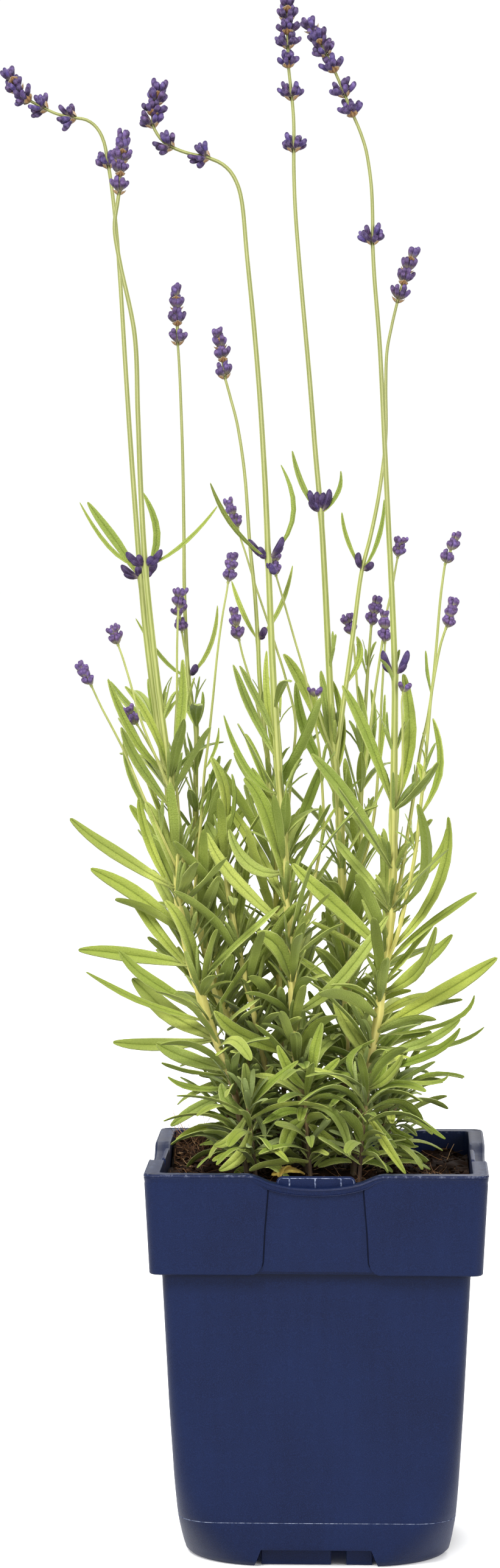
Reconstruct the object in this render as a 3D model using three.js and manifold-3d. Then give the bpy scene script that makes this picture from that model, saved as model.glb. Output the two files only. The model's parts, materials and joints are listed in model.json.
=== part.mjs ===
// A flowering lavender clump growing in a square moulded nursery pot, in millimetres.
// +Z is up, +X is right and -Y is the front. The origin is the middle of the pot's foot.

import * as THREE from 'three';
import { mergeVertices } from 'three/addons/utils/BufferGeometryUtils.js';
import Module from 'manifold-3d';

// ---------------------------------------------------------------- driving dimensions

const RIM_WIDTH = 130;
const POT_HEIGHT = 152.4;
const COLLAR_HEIGHT = 38.4;
const COLLAR_FLARE = 2;
const WALL = 1.6;
const FLOOR_UNDERSIDE = 6.8;
const SCOOP_DEPTH = 5.1;
const SCOOP_HALF_WIDTH = 25.3;
const TAB_HALF_WIDTH = 15;
const SOIL_BELOW_RIM = 8.6;
const STEM_FOOT = 127;
const LEAF_THICKNESS = 0.9;
const SEAT_GAP = 0.3;

// The pot's wall from the ground up: height, half width and corner radius of its outside.
const WALL_PROFILE = [
  [0, 49.3, 30], [1.8, 51, 30.5], [6.8, 51.9, 25], [17.4, 53.3, 15.6],
  [32, 54.3, 9.5], [62, 56, 5.6], [112, 58.4, 4.2], [151, 60.9, 4.2],
];

const SOIL_TOP = POT_HEIGHT - SOIL_BELOW_RIM;

// The eye that the routes below were sighted from. A route's points are [x, z, y]:
// x and z as they look in the plane y = 0 from this eye, and y the point's own depth.
const EYE = new THREE.Vector3(29.3, -1711, 397);

// ---------------------------------------------------------------- the plant's routes

// Each flowering stem: its thickness at the foot and under the spike, its route from the
// soil up, the heights where leaf pairs sit, and its side stalks.
const STEMS = {
  left_front: {
    thick: [3.6, 2.3],
    route: [
      [-26, STEM_FOOT, -21], [-30, 160, -20], [-34, 180, -19], [-39.5, 194, -18], [-45, 210, -17],
      [-50.5, 228, -17], [-54.5, 250, -17], [-55.5, 272, -17], [-58, 298, -17], [-61.5, 325, -17],
      [-64.5, 350, -18], [-67.5, 380.5, -18], [-69.2, 410, -19], [-70.3, 440, -20],
      [-71.5, 470, -21], [-77, 497, -22], [-79.2, 511, -22], [-78, 521, -23],
    ],
    pairs: [213, 252, 298],
    spike: {
      kind: 'full',
      points: [[-77.4, 525, -23, 5], [-77, 532, -23, 6], [-76.6, 536.5, -23, 6],
        [-76.3, 540.5, -23, 6], [-76, 543.5, -23, 3]],
    },
  },
  left_back: {
    thick: [3.4, 2.3],
    route: [
      [-20, STEM_FOOT, -4], [-24, 165, -5], [-30, 192, -5], [-36, 205, -5], [-41, 219, -5],
      [-45.5, 236, -5], [-50.5, 256, -5], [-57, 285, -5], [-62.5, 318, -5], [-67, 352, -5],
      [-69.3, 376, -5], [-71.3, 402, -4], [-73.3, 430, -3], [-75.2, 460, -2], [-77, 490, 0],
      [-78.6, 511, 2], [-80.3, 527, 3],
    ],
    pairs: [215, 240, 265, 292, 318],
    spike: {
      kind: 'open',
      points: [[-81.5, 535, 4, 5], [-83.2, 544, 5, 0], [-86, 549.6, 6, 0], [-90, 552.6, 6, 0],
        [-95, 553.5, 7, 6], [-101, 554.8, 7, 0], [-106, 557, 8, 6], [-112.5, 560.5, 8, 6],
        [-116, 564, 8, 6], [-118.3, 567.5, 8, 4]],
    },
  },
  centre: {
    thick: [3.8, 2.3],
    route: [
      [-4, STEM_FOOT, -16], [-6, 165, -15], [-9, 190, -14], [-10, 210, -13], [-11, 235, -12],
      [-12.8, 258, -12], [-14.5, 285, -12], [-16, 305, -12], [-17.5, 330, -12],
      [-18.8, 358, -11], [-19.8, 383.5, -10], [-21, 412, -9], [-23, 445, -7],
      [-25.5, 475, -6], [-28, 500, -5], [-30, 521, -4], [-33, 530.5, -4], [-37.5, 535.5, -4],
    ],
    pairs: [185, 228, 275, 325],
    spike: {
      kind: 'open',
      points: [[-43.5, 538.2, -4, 5], [-51, 539.8, -4, 0], [-57.3, 542.3, -4, 6],
        [-61.5, 545.5, -4, 0], [-64.3, 550.5, -4, 6], [-64.2, 555, -4, 6],
        [-63.3, 559, -4, 5], [-62.5, 562, -4, 3]],
    },
  },
  middle_back: {
    thick: [3.8, 2.3],
    route: [
      [7, STEM_FOOT, 14], [9, 165, 14], [10.5, 200, 13], [11, 225, 13], [9.5, 248, 12],
      [8.5, 272, 12], [7.8, 290, 12], [6.3, 304, 12], [5, 320, 12], [3.4, 350, 13],
      [2, 378, 14], [0.6, 401, 15], [-1.5, 424, 17], [-4, 455, 20], [-7, 488, 23],
      [-9.2, 515, 26], [-9.9, 531, 27],
    ],
    pairs: [190, 218, 248, 280],
    spike: {
      kind: 'open',
      points: [[-10, 541, 28, 5], [-10, 551, 28, 0], [-10.7, 560.8, 29, 5],
        [-12.1, 573.3, 29, 6], [-12.3, 580.5, 29, 7], [-12.4, 586, 29, 6],
        [-12.6, 590.5, 29, 6], [-12.6, 594.5, 29, 3]],
    },
  },
  right: {
    thick: [3.8, 2.3],
    route: [
      [12, STEM_FOOT, -16], [15.5, 165, -15], [19, 184, -14], [22.5, 202, -13],
      [25.3, 222, -12], [27.5, 240, -12], [28.8, 262, -12], [28.9, 286, -12],
      [29.2, 312, -12], [29.3, 338.5, -12], [28.2, 368, -13], [26.7, 397, -14],
      [25, 432, -15], [23.3, 465, -16], [21.2, 491, -17],
    ],
    pairs: [208, 246, 286],
    spike: {
      kind: 'open',
      points: [[20.4, 505.5, -18, 5], [20.4, 516, -19, 0], [19.8, 528, -20, 0],
        [18, 540, -20, 0], [15.5, 548, -21, 0], [12.7, 554.5, -21, 6], [9.6, 562, -22, 6],
        [5.5, 571.5, -22, 6], [2.4, 577.5, -23, 6], [0, 582, -23, 6], [-2.6, 586.5, -24, 5]],
    },
  },
  left_slim: {
    thick: [2.6, 1.5],
    route: [
      [-15, STEM_FOOT, 10], [-20, 165, 9], [-30, 195, 8], [-38, 220, 7], [-44, 245, 6],
      [-47.5, 270, 6], [-48, 295, 6], [-47.8, 318, 6], [-50, 330, 6], [-51.3, 345, 6],
      [-52.3, 370, 6], [-52.5, 395, 7], [-53, 425, 8], [-54, 453, 10],
    ],
    pairs: [190, 220, 250, 285, 318],
    spike: {
      kind: 'full',
      points: [[-54.8, 467, 11, 4], [-55, 474.5, 11, 6], [-55.2, 480, 11, 6],
        [-55.2, 484, 11, 3]],
    },
  },
  centre_slim: {
    thick: [2.6, 1.5],
    route: [
      [-11, STEM_FOOT, 3], [-13, 165, 3], [-15, 200, 4], [-16, 235, 5], [-17.5, 270, 5],
      [-19.5, 300, 6], [-21.5, 320, 6], [-23.2, 338, 6], [-23.8, 352, 6], [-25, 370, 7],
      [-27, 390, 8], [-28.8, 415, 9], [-31.5, 434, 10], [-34.5, 446, 11],
    ],
    pairs: [185, 210, 238, 266, 296],
    spike: {
      kind: 'full',
      points: [[-36.7, 454, 12, 3], [-37.4, 460.5, 12, 6], [-38.2, 465, 12, 6],
        [-38.7, 467.8, 12, 3]],
    },
  },
  right_back: {
    thick: [2.8, 1.2],
    route: [
      [4, STEM_FOOT, 27], [7, 165, 26], [11, 200, 25], [14, 232, 24], [15.8, 262, 23],
      [16.3, 293, 22], [17.3, 315, 22], [18.5, 335, 22], [19.4, 348, 22],
    ],
    pairs: [185, 210, 240, 268, 293],
    spike: {
      kind: 'young',
      points: [[20.2, 358, 22, 5], [21, 362, 22, 5], [21.8, 365, 22, 3]],
    },
  },
  inner_shoot: {
    thick: [2.6, 1.6],
    route: [[-12, STEM_FOOT, -7], [-17, 165, -8], [-24, 200, -10], [-33, 240, -10],
      [-37.2, 268, -9], [-37.6, 279, -9]],
    pairs: [190, 215, 245],
  },
  tuft_front: {
    thick: [2.4, 1.6],
    route: [[-2, STEM_FOOT, -27], [-4.5, 160, -27], [-5, 172, -27], [-3.5, 182, -27]],
    spray: 4,
  },
  tuft_front_left: {
    thick: [2.4, 1.6],
    route: [[-23, STEM_FOOT, -30], [-26, 156, -30], [-28, 171, -31]],
    spray: 5,
  },
  tuft_front_right: {
    thick: [2.4, 1.6],
    route: [[15, STEM_FOOT, -30], [17, 157, -30], [19.5, 179, -30]],
    spray: 6,
  },
  tuft_right: {
    thick: [2.4, 1.6],
    route: [[22, STEM_FOOT, -8], [24.5, 156, -7], [27, 176, -6]],
    spray: 6,
  },
  tuft_left: {
    thick: [2.4, 1.6],
    route: [[-30, STEM_FOOT, -7], [-33, 152, -8], [-36, 168, -9]],
    spray: 6,
  },
  tuft_back_left: {
    thick: [2.4, 1.6],
    route: [[-22, STEM_FOOT, 24], [-26, 158, 28], [-30, 180, 31]],
    spray: 9,
  },
  tuft_back: {
    thick: [2.4, 1.6],
    route: [[-6, STEM_FOOT, 30], [-7, 158, 36], [-6, 182, 40]],
    spray: 9,
  },
  tuft_back_right: {
    thick: [2.4, 1.6],
    route: [[22, STEM_FOOT, 14], [27, 158, 16], [33, 182, 18]],
    spray: 9,
  },
};

// Side stalks: the stem each one leaves, its route from that stem up, and its spike.
const STALKS = [
  ['middle_back', 2, [[6.3, 304, 12], [8.7, 322, 11.5], [11.3, 341, 11], [13.6, 358, 10],
    [16.3, 378, 9], [20, 393, 9], [23.3, 410, 9], [25.6, 430, 9], [25.6, 450, 9], [26, 463, 9],
    [27.8, 473, 9]],
  'full', [[30.2, 483.3, 9, 4], [32.3, 490, 9, 6], [33.6, 494.5, 9, 6], [35.3, 499, 9, 4]]],
  ['centre', 1.1, [[-12, 250, -12], [-12.5, 275, -2], [-10.8, 300, 6], [-9.2, 320, 10],
    [-13, 337, 12], [-16.7, 349, 13], [-20.3, 360, 14], [-24.7, 373, 14], [-28.7, 386, 14],
    [-30.4, 391, 14]],
  'young', [[-31.7, 396, 14, 5], [-33.2, 400, 14, 5], [-34.3, 403, 14, 2]]],
  ['centre', 1.1, [[-10.5, 222, -13], [-6, 240, -6], [-2, 258, 0], [1.5, 278, 2], [1.2, 295, 3],
    [-0.3, 312, 4], [-3, 327, 4], [-6, 340, 4], [-9.5, 352, 4], [-13.5, 366, 4],
    [-16, 374.5, 4]],
  'young', [[-16.9, 377.5, 4, 2], [-17.6, 382, 4, 2]]],
  ['left_front', 1.1, [[-52, 238, -17], [-49, 250, -13], [-47.5, 265, -11], [-46, 281, -10],
    [-44.6, 300, -10], [-43, 313, -10], [-41.2, 330, -10], [-39.5, 347, -10],
    [-37.6, 361, -10], [-36, 370, -10]],
  'young', [[-35.3, 374.8, -10, 5], [-34.6, 378.5, -10, 5], [-34.2, 381.5, -10, 3]]],
  ['centre_slim', 1.1, [[-19.9, 304, 6], [-21.8, 314, 3], [-24, 326, 1], [-27, 337, 0],
    [-29.7, 346, 0]],
  'young', [[-31.2, 352.5, 0, 4], [-32, 357, 0, 5], [-32.6, 360.5, 0, 3]]],
  ['left_front', 1.1, [[-57.5, 292, -17], [-62, 303, -20], [-66.3, 313, -21], [-70, 323, -22],
    [-73.3, 335, -22], [-76.3, 345, -22]],
  'young', [[-78.3, 350.5, -22, 2], [-79.3, 354, -22, 2]]],
  ['left_front', 1.1, [[-55, 262, -17], [-61, 275, -22], [-67, 288, -25], [-71.3, 298, -26],
    [-75.5, 308, -26], [-80, 317, -26], [-84.5, 325.5, -26]],
  'young', [[-88.7, 334.5, -26, 2], [-90.3, 337.5, -26, 4], [-91.5, 339.5, -26, 3]]],
  ['left_front', 1, [[-58.5, 299, -17], [-62.5, 305, -14], [-66, 311, -13], [-69, 316.3, -13]],
    'young', [[-71, 319.5, -13, 3], [-73, 323, -13, 3]]],
  ['left_front', 1.1, [[-55, 264, -17], [-54.5, 282, -12], [-55.8, 300, -11], [-56, 315, -11],
    [-55.3, 330, -11], [-55.2, 348, -11], [-54.9, 360, -11]],
  'young', [[-54.6, 364.5, -11, 5], [-54.2, 368, -11, 2]]],
  ['left_slim', 1.1, [[-51.3, 345, 6], [-52.5, 350.5, 3]],
    'young', [[-53.3, 355.5, 1, 4], [-54.2, 361.5, 0, 4]]],
  ['right', 1.4, [[28, 246, -12], [31.5, 258, -6], [34.5, 277, -2], [37, 293, 0],
    [39.3, 309, 1], [42, 321, 2], [44, 335, 2], [45.4, 350, 2], [46.8, 367, 2], [48, 377, 2]],
  'young', [[48.8, 382, 2, 4], [50.7, 386.5, 2, 5], [52, 390, 2, 4]]],
  ['right', 1.4, [[25.7, 225, -12], [30.5, 237, -14], [34.5, 254, -15], [37.5, 270, -15],
    [39.5, 288, -15], [41.3, 306, -14], [42.6, 321, -12], [43.5, 331, -10], [45.5, 343, -9],
    [47.2, 351, -9]],
  'young', [[49.2, 357, -9, 5], [50.5, 361, -9, 5], [51.3, 364, -9, 3]]],
  ['right_back', 1.2, [[16.3, 293, 22], [19, 310, 20], [20.8, 326, 19], [22.8, 340, 18],
    [24.6, 352, 18], [26.4, 364, 18], [28.2, 372, 18], [29.2, 378, 18]],
  'young', [[30.4, 384.5, 18, 5], [31.2, 388.5, 18, 5]]],
  ['right_back', 1.2, [[15.8, 262, 23], [20, 276, 16], [22.2, 291, 14], [23.2, 308, 14],
    [24, 325, 14], [24.8, 340, 14]],
  'young', [[25.5, 351.5, 14, 5], [25.4, 356, 14, 5], [25.4, 359.5, 14, 3]]],
  ['right_back', 1.1, [[17.3, 315, 22], [15.3, 328, 25], [14.2, 341, 27], [13.3, 350, 28]],
    'young', [[12.5, 354.5, 28, 4], [11.5, 358, 28, 4]]],
  ['middle_back', 1, [[6.2, 306, 12], [3, 314, 6], [0.4, 322, 3]],
    'young', [[-1.2, 330, 2, 2]]],
  ['right', 1, [[28.9, 286, -12], [31.8, 294, -15], [32.4, 305, -16], [32.3, 320, -16],
    [32, 328, -16]],
  'young', [[32.6, 332, -16, 3]]],
];

// The leaves that show singly, by the stem that bears them. Each row is the foot's x and z,
// a point half way along, the tip, all as they look from the eye, then how far the tip
// stands back from the foot, the width and the turn of the blade towards the eye in degrees.
const LEAVES = {
  left_front: [
    [-67.5, 380.5, -80, 386.5, -93, 405.5, -4, 1.9, 10],
    [-67.5, 380.5, -53, 389, -39.5, 404, -4, 1.9, 10],
    [-58, 298, -53.8, 322, -53, 344.5, -5, 4.2, 65],
    [-58, 298, -65, 319, -75.5, 334, -6, 3, 50],
    [-58, 299, -72, 314, -82, 337, 5, 3.2, 50],
    [-57, 286, -69.5, 303, -77, 318, -8, 4, 60],
    [-55, 258, -60, 275, -67.5, 289, -9, 5, 65],
    [-54, 250, -66, 273, -70, 291, 7, 3.2, 40],
    [-47, 216, -51, 236, -60, 250.5, -10, 5, 60],
    [-54, 255, -77, 267.5, -97, 282.5, -3, 4.6, 60],
    [-52, 238, -70, 252, -89, 263, -6, 5.4, 60],
    [-48, 221, -64, 240, -73, 252, 4, 4, 50],
    [-50, 225, -72, 229, -94, 231, 2, 5, 60],
    [-45, 207, -64, 218, -78, 230.5, -6, 4.2, 60],
    [-43, 203, -68, 210.5, -91, 222.5, -12, 3, 10],
    [-40, 196, -58, 206.5, -73, 220, 4, 6.4, 70],
    [-41, 200, -60, 204, -77, 212.5, 8, 3, 10],
    [-40, 196, -62, 194, -80.5, 195, 10, 4.4, 55],
    [-36, 184, -52, 189, -63.5, 194.5, -4, 5, 60],
    [-35, 182, -50, 183.5, -61.5, 187, -10, 2.6, 10],
    [-34, 178, -48, 176.8, -59, 181.5, 4, 2.6, 10],
    [-33, 176, -48, 169, -58, 162, 6, 3.6, 60],
    [-44.3, 302, -40.5, 309.5, -39, 318, -2, 1.8, 20],
    [-46, 282, -43, 290, -42.8, 300, -2, 2.2, 30],
  ],
  left_back: [
    [-69.3, 376, -79.5, 391, -90, 405.5, 3, 3.6, 60],
    [-69.3, 376, -63, 391, -68.5, 409.5, 3, 2.8, 35],
    [-53, 270, -70, 292, -76, 313, 4, 2.6, 30],
    [-60, 305, -63.5, 322, -66.5, 337, 5, 2.6, 50],
  ],
  centre: [
    [-19.8, 383.5, -33, 395.5, -42.3, 413, -4, 2.1, 15],
    [-19.8, 383.5, -10.2, 400, -15, 420, -4, 2.1, 15],
    [-16, 305, -26, 324, -33.5, 342.5, -5, 3, 60],
    [-16.5, 312, -23.5, 328, -31, 342, 4, 3, 50],
    [-16, 300, -19.8, 325, -20.5, 348, 8, 2.4, 50],
    [-12.5, 252, -18.5, 280, -29, 298.5, -8, 5.6, 65],
    [-14, 275, -20, 290, -26, 302.5, 6, 3, 50],
    [-11, 240, -32, 258, -44, 277, -9, 4.6, 60],
    [-10, 205, -26, 217, -46, 226, 15, 5, 60],
    [-10, 206, 8, 219.5, 27, 245, -9, 4.6, 60],
    [-10, 218, -15.5, 231.5, -24, 238, -13, 6, 75],
    [-9, 190, -29, 197.5, -41, 207, -8, 5, 60],
    [-13, 262, -26.5, 264, -35, 278.5, 4, 4.4, 55],
    [-15.3, 292, -27.5, 301, -37, 323, 3, 2.4, 40],
    [-15, 286, -25, 296, -33, 308.5, 6, 2.8, 50],
    [1.5, 278, 0.6, 283, 0.6, 288, -2, 1.6, 20],
    [1.5, 278, 4, 283, 6.8, 287, -2, 1.6, 20],
  ],
  middle_back: [
    [0.6, 401, -6.3, 411.5, -10.5, 425.3, -3, 2.5, 30],
    [0.6, 401, 6.8, 408.5, 8.3, 417.5, -3, 2.1, 30],
    [16.4, 379, 11, 390.5, 8.7, 401.5, -3, 2, 20],
    [16.4, 379, 23, 391.5, 25, 406.5, -1, 2.1, 20],
    [6.3, 304, -4.5, 331, -14, 346.5, -4, 4, 60],
    [6.3, 304, 3.2, 321, 0.8, 336.5, -6, 2.6, 60],
    [7.5, 295, -4.5, 314, -9, 336, -8, 3.4, 60],
    [7, 300, 9, 318, 5, 336.5, 6, 2.6, 50],
    [10.5, 335, 15.5, 345, 14.5, 353.5, 4, 2.4, 50],
  ],
  right: [
    [29.3, 338.5, 16.8, 355, 13.5, 380.5, -3, 2.6, 25],
    [29.3, 338.5, 39.6, 356, 38.5, 381.5, -3, 2.4, 25],
    [29, 286, 35, 314, 32.5, 339, -4, 4.6, 70],
    [29, 287, 19.2, 314, 9, 334.5, -5, 4, 60],
    [28.8, 262, 13, 288, -3, 308, -8, 5, 60],
    [28.5, 252, 45, 266, 49.5, 279, 5, 3, 50],
    [28, 246, 41, 262, 38, 288.5, -4, 5.4, 65],
    [26.5, 230, 46, 256, 50, 283.5, -6, 4, 55],
    [26.5, 231, 6, 249, -10.5, 265, -8, 5.4, 65],
    [24, 213, 40, 226, 52, 237.5, -3, 4, 50],
    [24, 215, 38, 223, 45.5, 240.5, -10, 4.4, 65],
    [23.5, 208, 35.5, 222, 35.5, 237.5, -14, 3.8, 65],
    [22.5, 200, 46, 213.5, 69.5, 228.5, -4, 5.6, 60],
    [20.5, 190, 41, 195.5, 55, 204.5, 2, 3.4, 40],
    [19, 184, 43, 190.5, 55, 201, -8, 3.4, 40],
    [21, 194, 47, 193.5, 64.5, 201.5, 6, 2, 5],
    [22, 198, 50, 203, 60.5, 214, 10, 2, 5],
    [18.5, 182, 42, 179.3, 50.5, 183, -6, 2, 5],
    [19.5, 187, 13, 199, 5.5, 211, -7, 5, 65],
    [39.3, 284, 46.8, 302, 44, 321.8, -3, 3.2, 45],
    [40, 292, 40.5, 299, 37.8, 304.5, 2, 2.4, 40],
    [43.4, 331, 42, 339, 41.2, 348, -1, 1.6, 20],
  ],
  left_slim: [
    [-51, 338, -60, 344, -71.3, 360.5, -3, 1.8, 10],
    [-51, 338, -42.5, 349, -39.5, 365.5, -3, 2.2, 15],
    [-47.8, 318, -45.5, 325, -45.3, 332, -2, 1.6, 10],
  ],
  centre_slim: [
    [-23.8, 352, -29.5, 362.5, -34, 375, -3, 1.9, 15],
    [-23.8, 352, -15.5, 364, -10.3, 381, 2, 1.9, 15],
  ],
  right_back: [
    [16.3, 293, 18, 314, 15, 334.5, -4, 3, 50],
    [16.5, 297, 21, 316, 20, 333, 5, 2, 40],
    [22.4, 296, 24.5, 314, 25.5, 331, -2, 2, 40],
  ],
  inner_shoot: [
    [-37.6, 277, -36.3, 292, -42, 306.5, -3, 5, 65],
    [-37.4, 272, -33, 287, -34, 300, 3, 2.2, 30],
    [-37, 265, -40.5, 274, -44, 281.5, -5, 4, 60],
  ],
  tuft_front: [
    [-4.5, 176, -2, 190, 1, 203, -2, 4, 65],
    [-4.5, 176, -11.5, 184, -16, 194, -2, 3.6, 60],
    [-3.5, 180, 3, 184, 8, 189, -1, 3, 40],
    [-5, 167, -13, 168, -22, 163, -3, 3, 40],
    [-5, 166, -11, 160, -14.5, 151.5, -6, 5, 70],
    [-4.5, 163, 2, 158.5, 9, 151, -4, 3.4, 40],
    [-5, 170, 7, 166, 12, 150.5, -5, 3.4, 60],
  ],
  tuft_front_left: [
    [-26.5, 162, -30, 151.5, -39, 144.5, -5, 4.2, 60],
    [-28, 168, -34, 157.5, -41, 154.5, -2, 3, 50],
    [-28, 169, -28, 178, -29, 187, -1, 4.5, 60],
    [-28, 167, -35, 171, -38, 179, 3, 4, 60],
    [-28, 169, -20, 178, -8, 188, -2, 3, 30],
  ],
  tuft_front_right: [
    [19.3, 176, 24, 183, 26, 192, -2, 3.4, 60],
    [19.5, 177, 27, 182, 32.5, 190, -3, 4, 55],
    [18, 168, 15.5, 159, 24, 151, -4, 3.4, 50],
    [18.3, 168, 25, 157, 34, 143.5, -4, 3, 50],
    [18.5, 170, 26, 159, 30.5, 154, 2, 2.6, 40],
    [19.3, 176, 12, 186, 17, 194, 2, 3.4, 50],
  ],
  tuft_right: [
    [27, 174, 39.5, 164.5, 49.5, 157.5, -3, 2.2, 20],
    [26, 168, 31, 167, 37, 169, 0, 1.8, 20],
    [26, 166, 30.5, 160, 37, 158, -4, 2.4, 30],
    [25.5, 163, 30, 156.5, 39, 154.5, 3, 2.2, 20],
  ],
  tuft_left: [
    [-35, 163, -46, 161, -56, 156.5, -3, 3.2, 40],
    [-34.5, 160, -42, 161, -50, 161, 4, 2.4, 30],
  ],
};

// The dark buds in the axils, by stem: the foot's x and z and the tip's, as they look.
const BUDS = {
  left_front: [[-67.5, 380.5, -75, 386], [-67.5, 380.5, -61, 387]],
  left_back: [[-69.3, 376, -77, 381], [-69.3, 376, -63, 382]],
  centre: [[-19.8, 383.5, -27.5, 391], [-19.8, 383.5, -14, 392]],
  middle_back: [[0.6, 401, -4, 410], [0.6, 401, 4, 410.5], [16.4, 379, 15, 386],
    [16.4, 379, 21, 382]],
  right: [[29.3, 338.5, 24.5, 348], [29.3, 338.5, 34.5, 348]],
  left_slim: [[-51, 338, -47.5, 342.5]],
  centre_slim: [[-23.8, 352, -20.8, 357]],
};

// How a spike of each kind is built: its axis's sides and radius, and the length, half width
// and spread in degrees of the calyxes.
const SPIKE_KINDS = {
  open: { sides: 5, length: 5.6, half: 1.05, spread: 52, axis: 1.15 },
  full: { sides: 5, length: 5, half: 0.95, spread: 38, axis: 1 },
  young: { sides: 4, length: 4, half: 0.8, spread: 32, axis: 0.8 },
};
const WHORL_BAND = 1.5;

const COLOURS = { leaf: 0x86a544, stem: 0xa9b45a, calyx: 0x4d4085, peat: 0x2e2018, plastic: 0x24305a };

// ---------------------------------------------------------------- solids

const wasm = await Module();
wasm.setup();

// A closed geometry as a solid that can be joined and cut.
function solid(geometry) {
  const bare = geometry.clone();
  bare.deleteAttribute('normal');
  bare.deleteAttribute('uv');
  const { attributes, index } = mergeVertices(bare, 1e-4);
  const vertProperties = new Float32Array(attributes.position.array);
  return new wasm.Manifold(new wasm.Mesh({
    numProp: 3, vertProperties, triVerts: new Uint32Array(index.array),
  }));
}

function geometryOf(body) {
  const { vertProperties, triVerts } = body.getMesh();
  const geometry = new THREE.BufferGeometry();
  geometry.setAttribute('position', new THREE.BufferAttribute(vertProperties, 3));
  geometry.setIndex(new THREE.BufferAttribute(triVerts, 1));
  geometry.computeVertexNormals();
  return geometry;
}

const join = (bodies) => wasm.Manifold.union(bodies);

// A closed skin over rings of points. A ring of one point closes the skin in a tip.
function loft(rings) {
  const index = [];
  let start = 0;
  rings.slice(1).forEach((ring, i) => {
    const from = rings[i].length;
    const to = ring.length;
    const next = start + from;
    for (let k = 0; k < Math.max(from, to); k += 1) {
      const l = (k + 1) % Math.max(from, to);
      if (from > 1) index.push(start + k, start + l, next + (to > 1 ? l : 0));
      if (to > 1) index.push(start + (from > 1 ? k : 0), next + l, next + k);
    }
    start = next;
  });
  for (let k = 1; k + 1 < rings[0].length; k += 1) index.push(0, k + 1, k);
  for (let k = 1; k + 1 < rings.at(-1).length; k += 1) index.push(start, start + k, start + k + 1);
  const geometry = new THREE.BufferGeometry().setFromPoints(rings.flat());
  geometry.setIndex(index);
  return geometry;
}

function ringAt(frame, radius, sides, turned = 0) {
  return Array.from({ length: sides }, (_, k) => {
    const angle = (2 * Math.PI * k) / sides + turned;
    return frame.at.clone()
      .addScaledVector(frame.normal, radius * Math.cos(angle))
      .addScaledVector(frame.binormal, radius * Math.sin(angle));
  });
}

// Frames along a line of points, turned as little as possible from one to the next.
function framesAlong(points) {
  let normal = new THREE.Vector3(1, 0, 0);
  return points.map((at, i) => {
    const ahead = points[Math.min(i + 1, points.length - 1)];
    const behind = points[Math.max(i - 1, 0)];
    const tangent = ahead.clone().sub(behind).normalize();
    normal = normal.clone().addScaledVector(tangent, -normal.dot(tangent)).normalize();
    return { at, tangent, normal, binormal: tangent.clone().cross(normal) };
  });
}

// A lavender's stem is square, so its tubes have four sides.
const tube = (frames, radii, sides = 4) => solid(
  loft(frames.map((frame, i) => ringAt(frame, radii[i], sides))),
);

// ---------------------------------------------------------------- placing

// A point given as it looks in the plane y = 0 from the eye, moved back to its own depth.
function seen(x, z, y) {
  const reach = (y - EYE.y) / -EYE.y;
  return new THREE.Vector3(EYE.x + (x - EYE.x) * reach, y, EYE.z + (z - EYE.z) * reach);
}

// Repeatable draws between -1 and 1.
function lottery(seed) {
  let state = seed;
  return () => {
    state = (state * 16807) % 2147483647;
    return (2 * state) / 2147483647 - 1;
  };
}

// The height of the peat at a place: crumbly, a little mounded round the stems, and heaped
// against the pot's left back corner.
function peatTop(x, y) {
  return SOIL_TOP + 1.1 * Math.sin(0.21 * x + 1) * Math.cos(0.17 * y)
    + 0.7 * Math.sin(0.09 * x - 0.13 * y)
    + 7 * Math.exp(-((x + 52) ** 2 + (y - 46) ** 2) / 240)
    + 2 * Math.exp(-(x * x + y * y) / 900);
}

function touchesPotOrPeat(point) {
  const out = Math.max(Math.abs(point.x), Math.abs(point.y));
  if (out > RIM_WIDTH / 2 + 2) return point.z < POT_HEIGHT - COLLAR_HEIGHT;
  if (out > RIM_WIDTH / 2 - 8) return point.z < POT_HEIGHT + 1.2;
  return point.z < peatTop(point.x, point.y) + 2.4;
}

// Room that is taken, as a grid of cells. A cell that two owners reach is shared.
const CELL = 1.6;
const taken = new Map();

const cellOf = (point) => [point.x, point.y, point.z].map((c) => Math.floor(c / CELL + 200.137));
const keyOf = (i, j, k) => (i * 1024 + j) * 1024 + k;

function take(point, radius, owner) {
  const [i, j, k] = cellOf(point);
  const n = Math.round((radius + CELL) / CELL);
  for (let di = -n; di <= n; di += 1) {
    for (let dj = -n; dj <= n; dj += 1) {
      for (let dk = -n; dk <= n; dk += 1) {
        const key = keyOf(i + di, j + dj, k + dk);
        const before = taken.get(key);
        if (before === undefined) taken.set(key, owner);
        else if (before.split(' ')[0] !== owner.split(' ')[0]) taken.set(key, 'shared');
      }
    }
  }
}

// ---------------------------------------------------------------- leaves

const UP = new THREE.Vector3(0, 0, 1);

// One leaf: its midrib curve, its width and the direction across the blade.
function leafOf(foot, middle, tip, width, turn) {
  const bend = middle.clone().multiplyScalar(2).addScaledVector(foot, -0.5).addScaledVector(tip, -0.5);
  const along = tip.clone().sub(foot).normalize();
  const flat = UP.clone().cross(along).normalize();
  const angle = THREE.MathUtils.degToRad(flat.y > 0 ? turn : -turn);
  const across = flat.clone().multiplyScalar(Math.cos(angle))
    .addScaledVector(along.clone().cross(flat), Math.sin(angle));
  const midrib = new THREE.QuadraticBezierCurve3(foot, bend, tip);
  return { midrib, across, width, length: foot.distanceTo(tip) };
}

// A point of a leaf, and the blade's directions there.
function leafFrame(leaf, t) {
  const at = leaf.midrib.getPoint(t);
  const tangent = leaf.midrib.getPoint(Math.min(t + 0.01, 1))
    .sub(leaf.midrib.getPoint(Math.max(t - 0.01, 0))).normalize();
  const across = leaf.across.clone().addScaledVector(tangent, -leaf.across.dot(tangent)).normalize();
  return { at, across, above: tangent.cross(across) };
}

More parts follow.
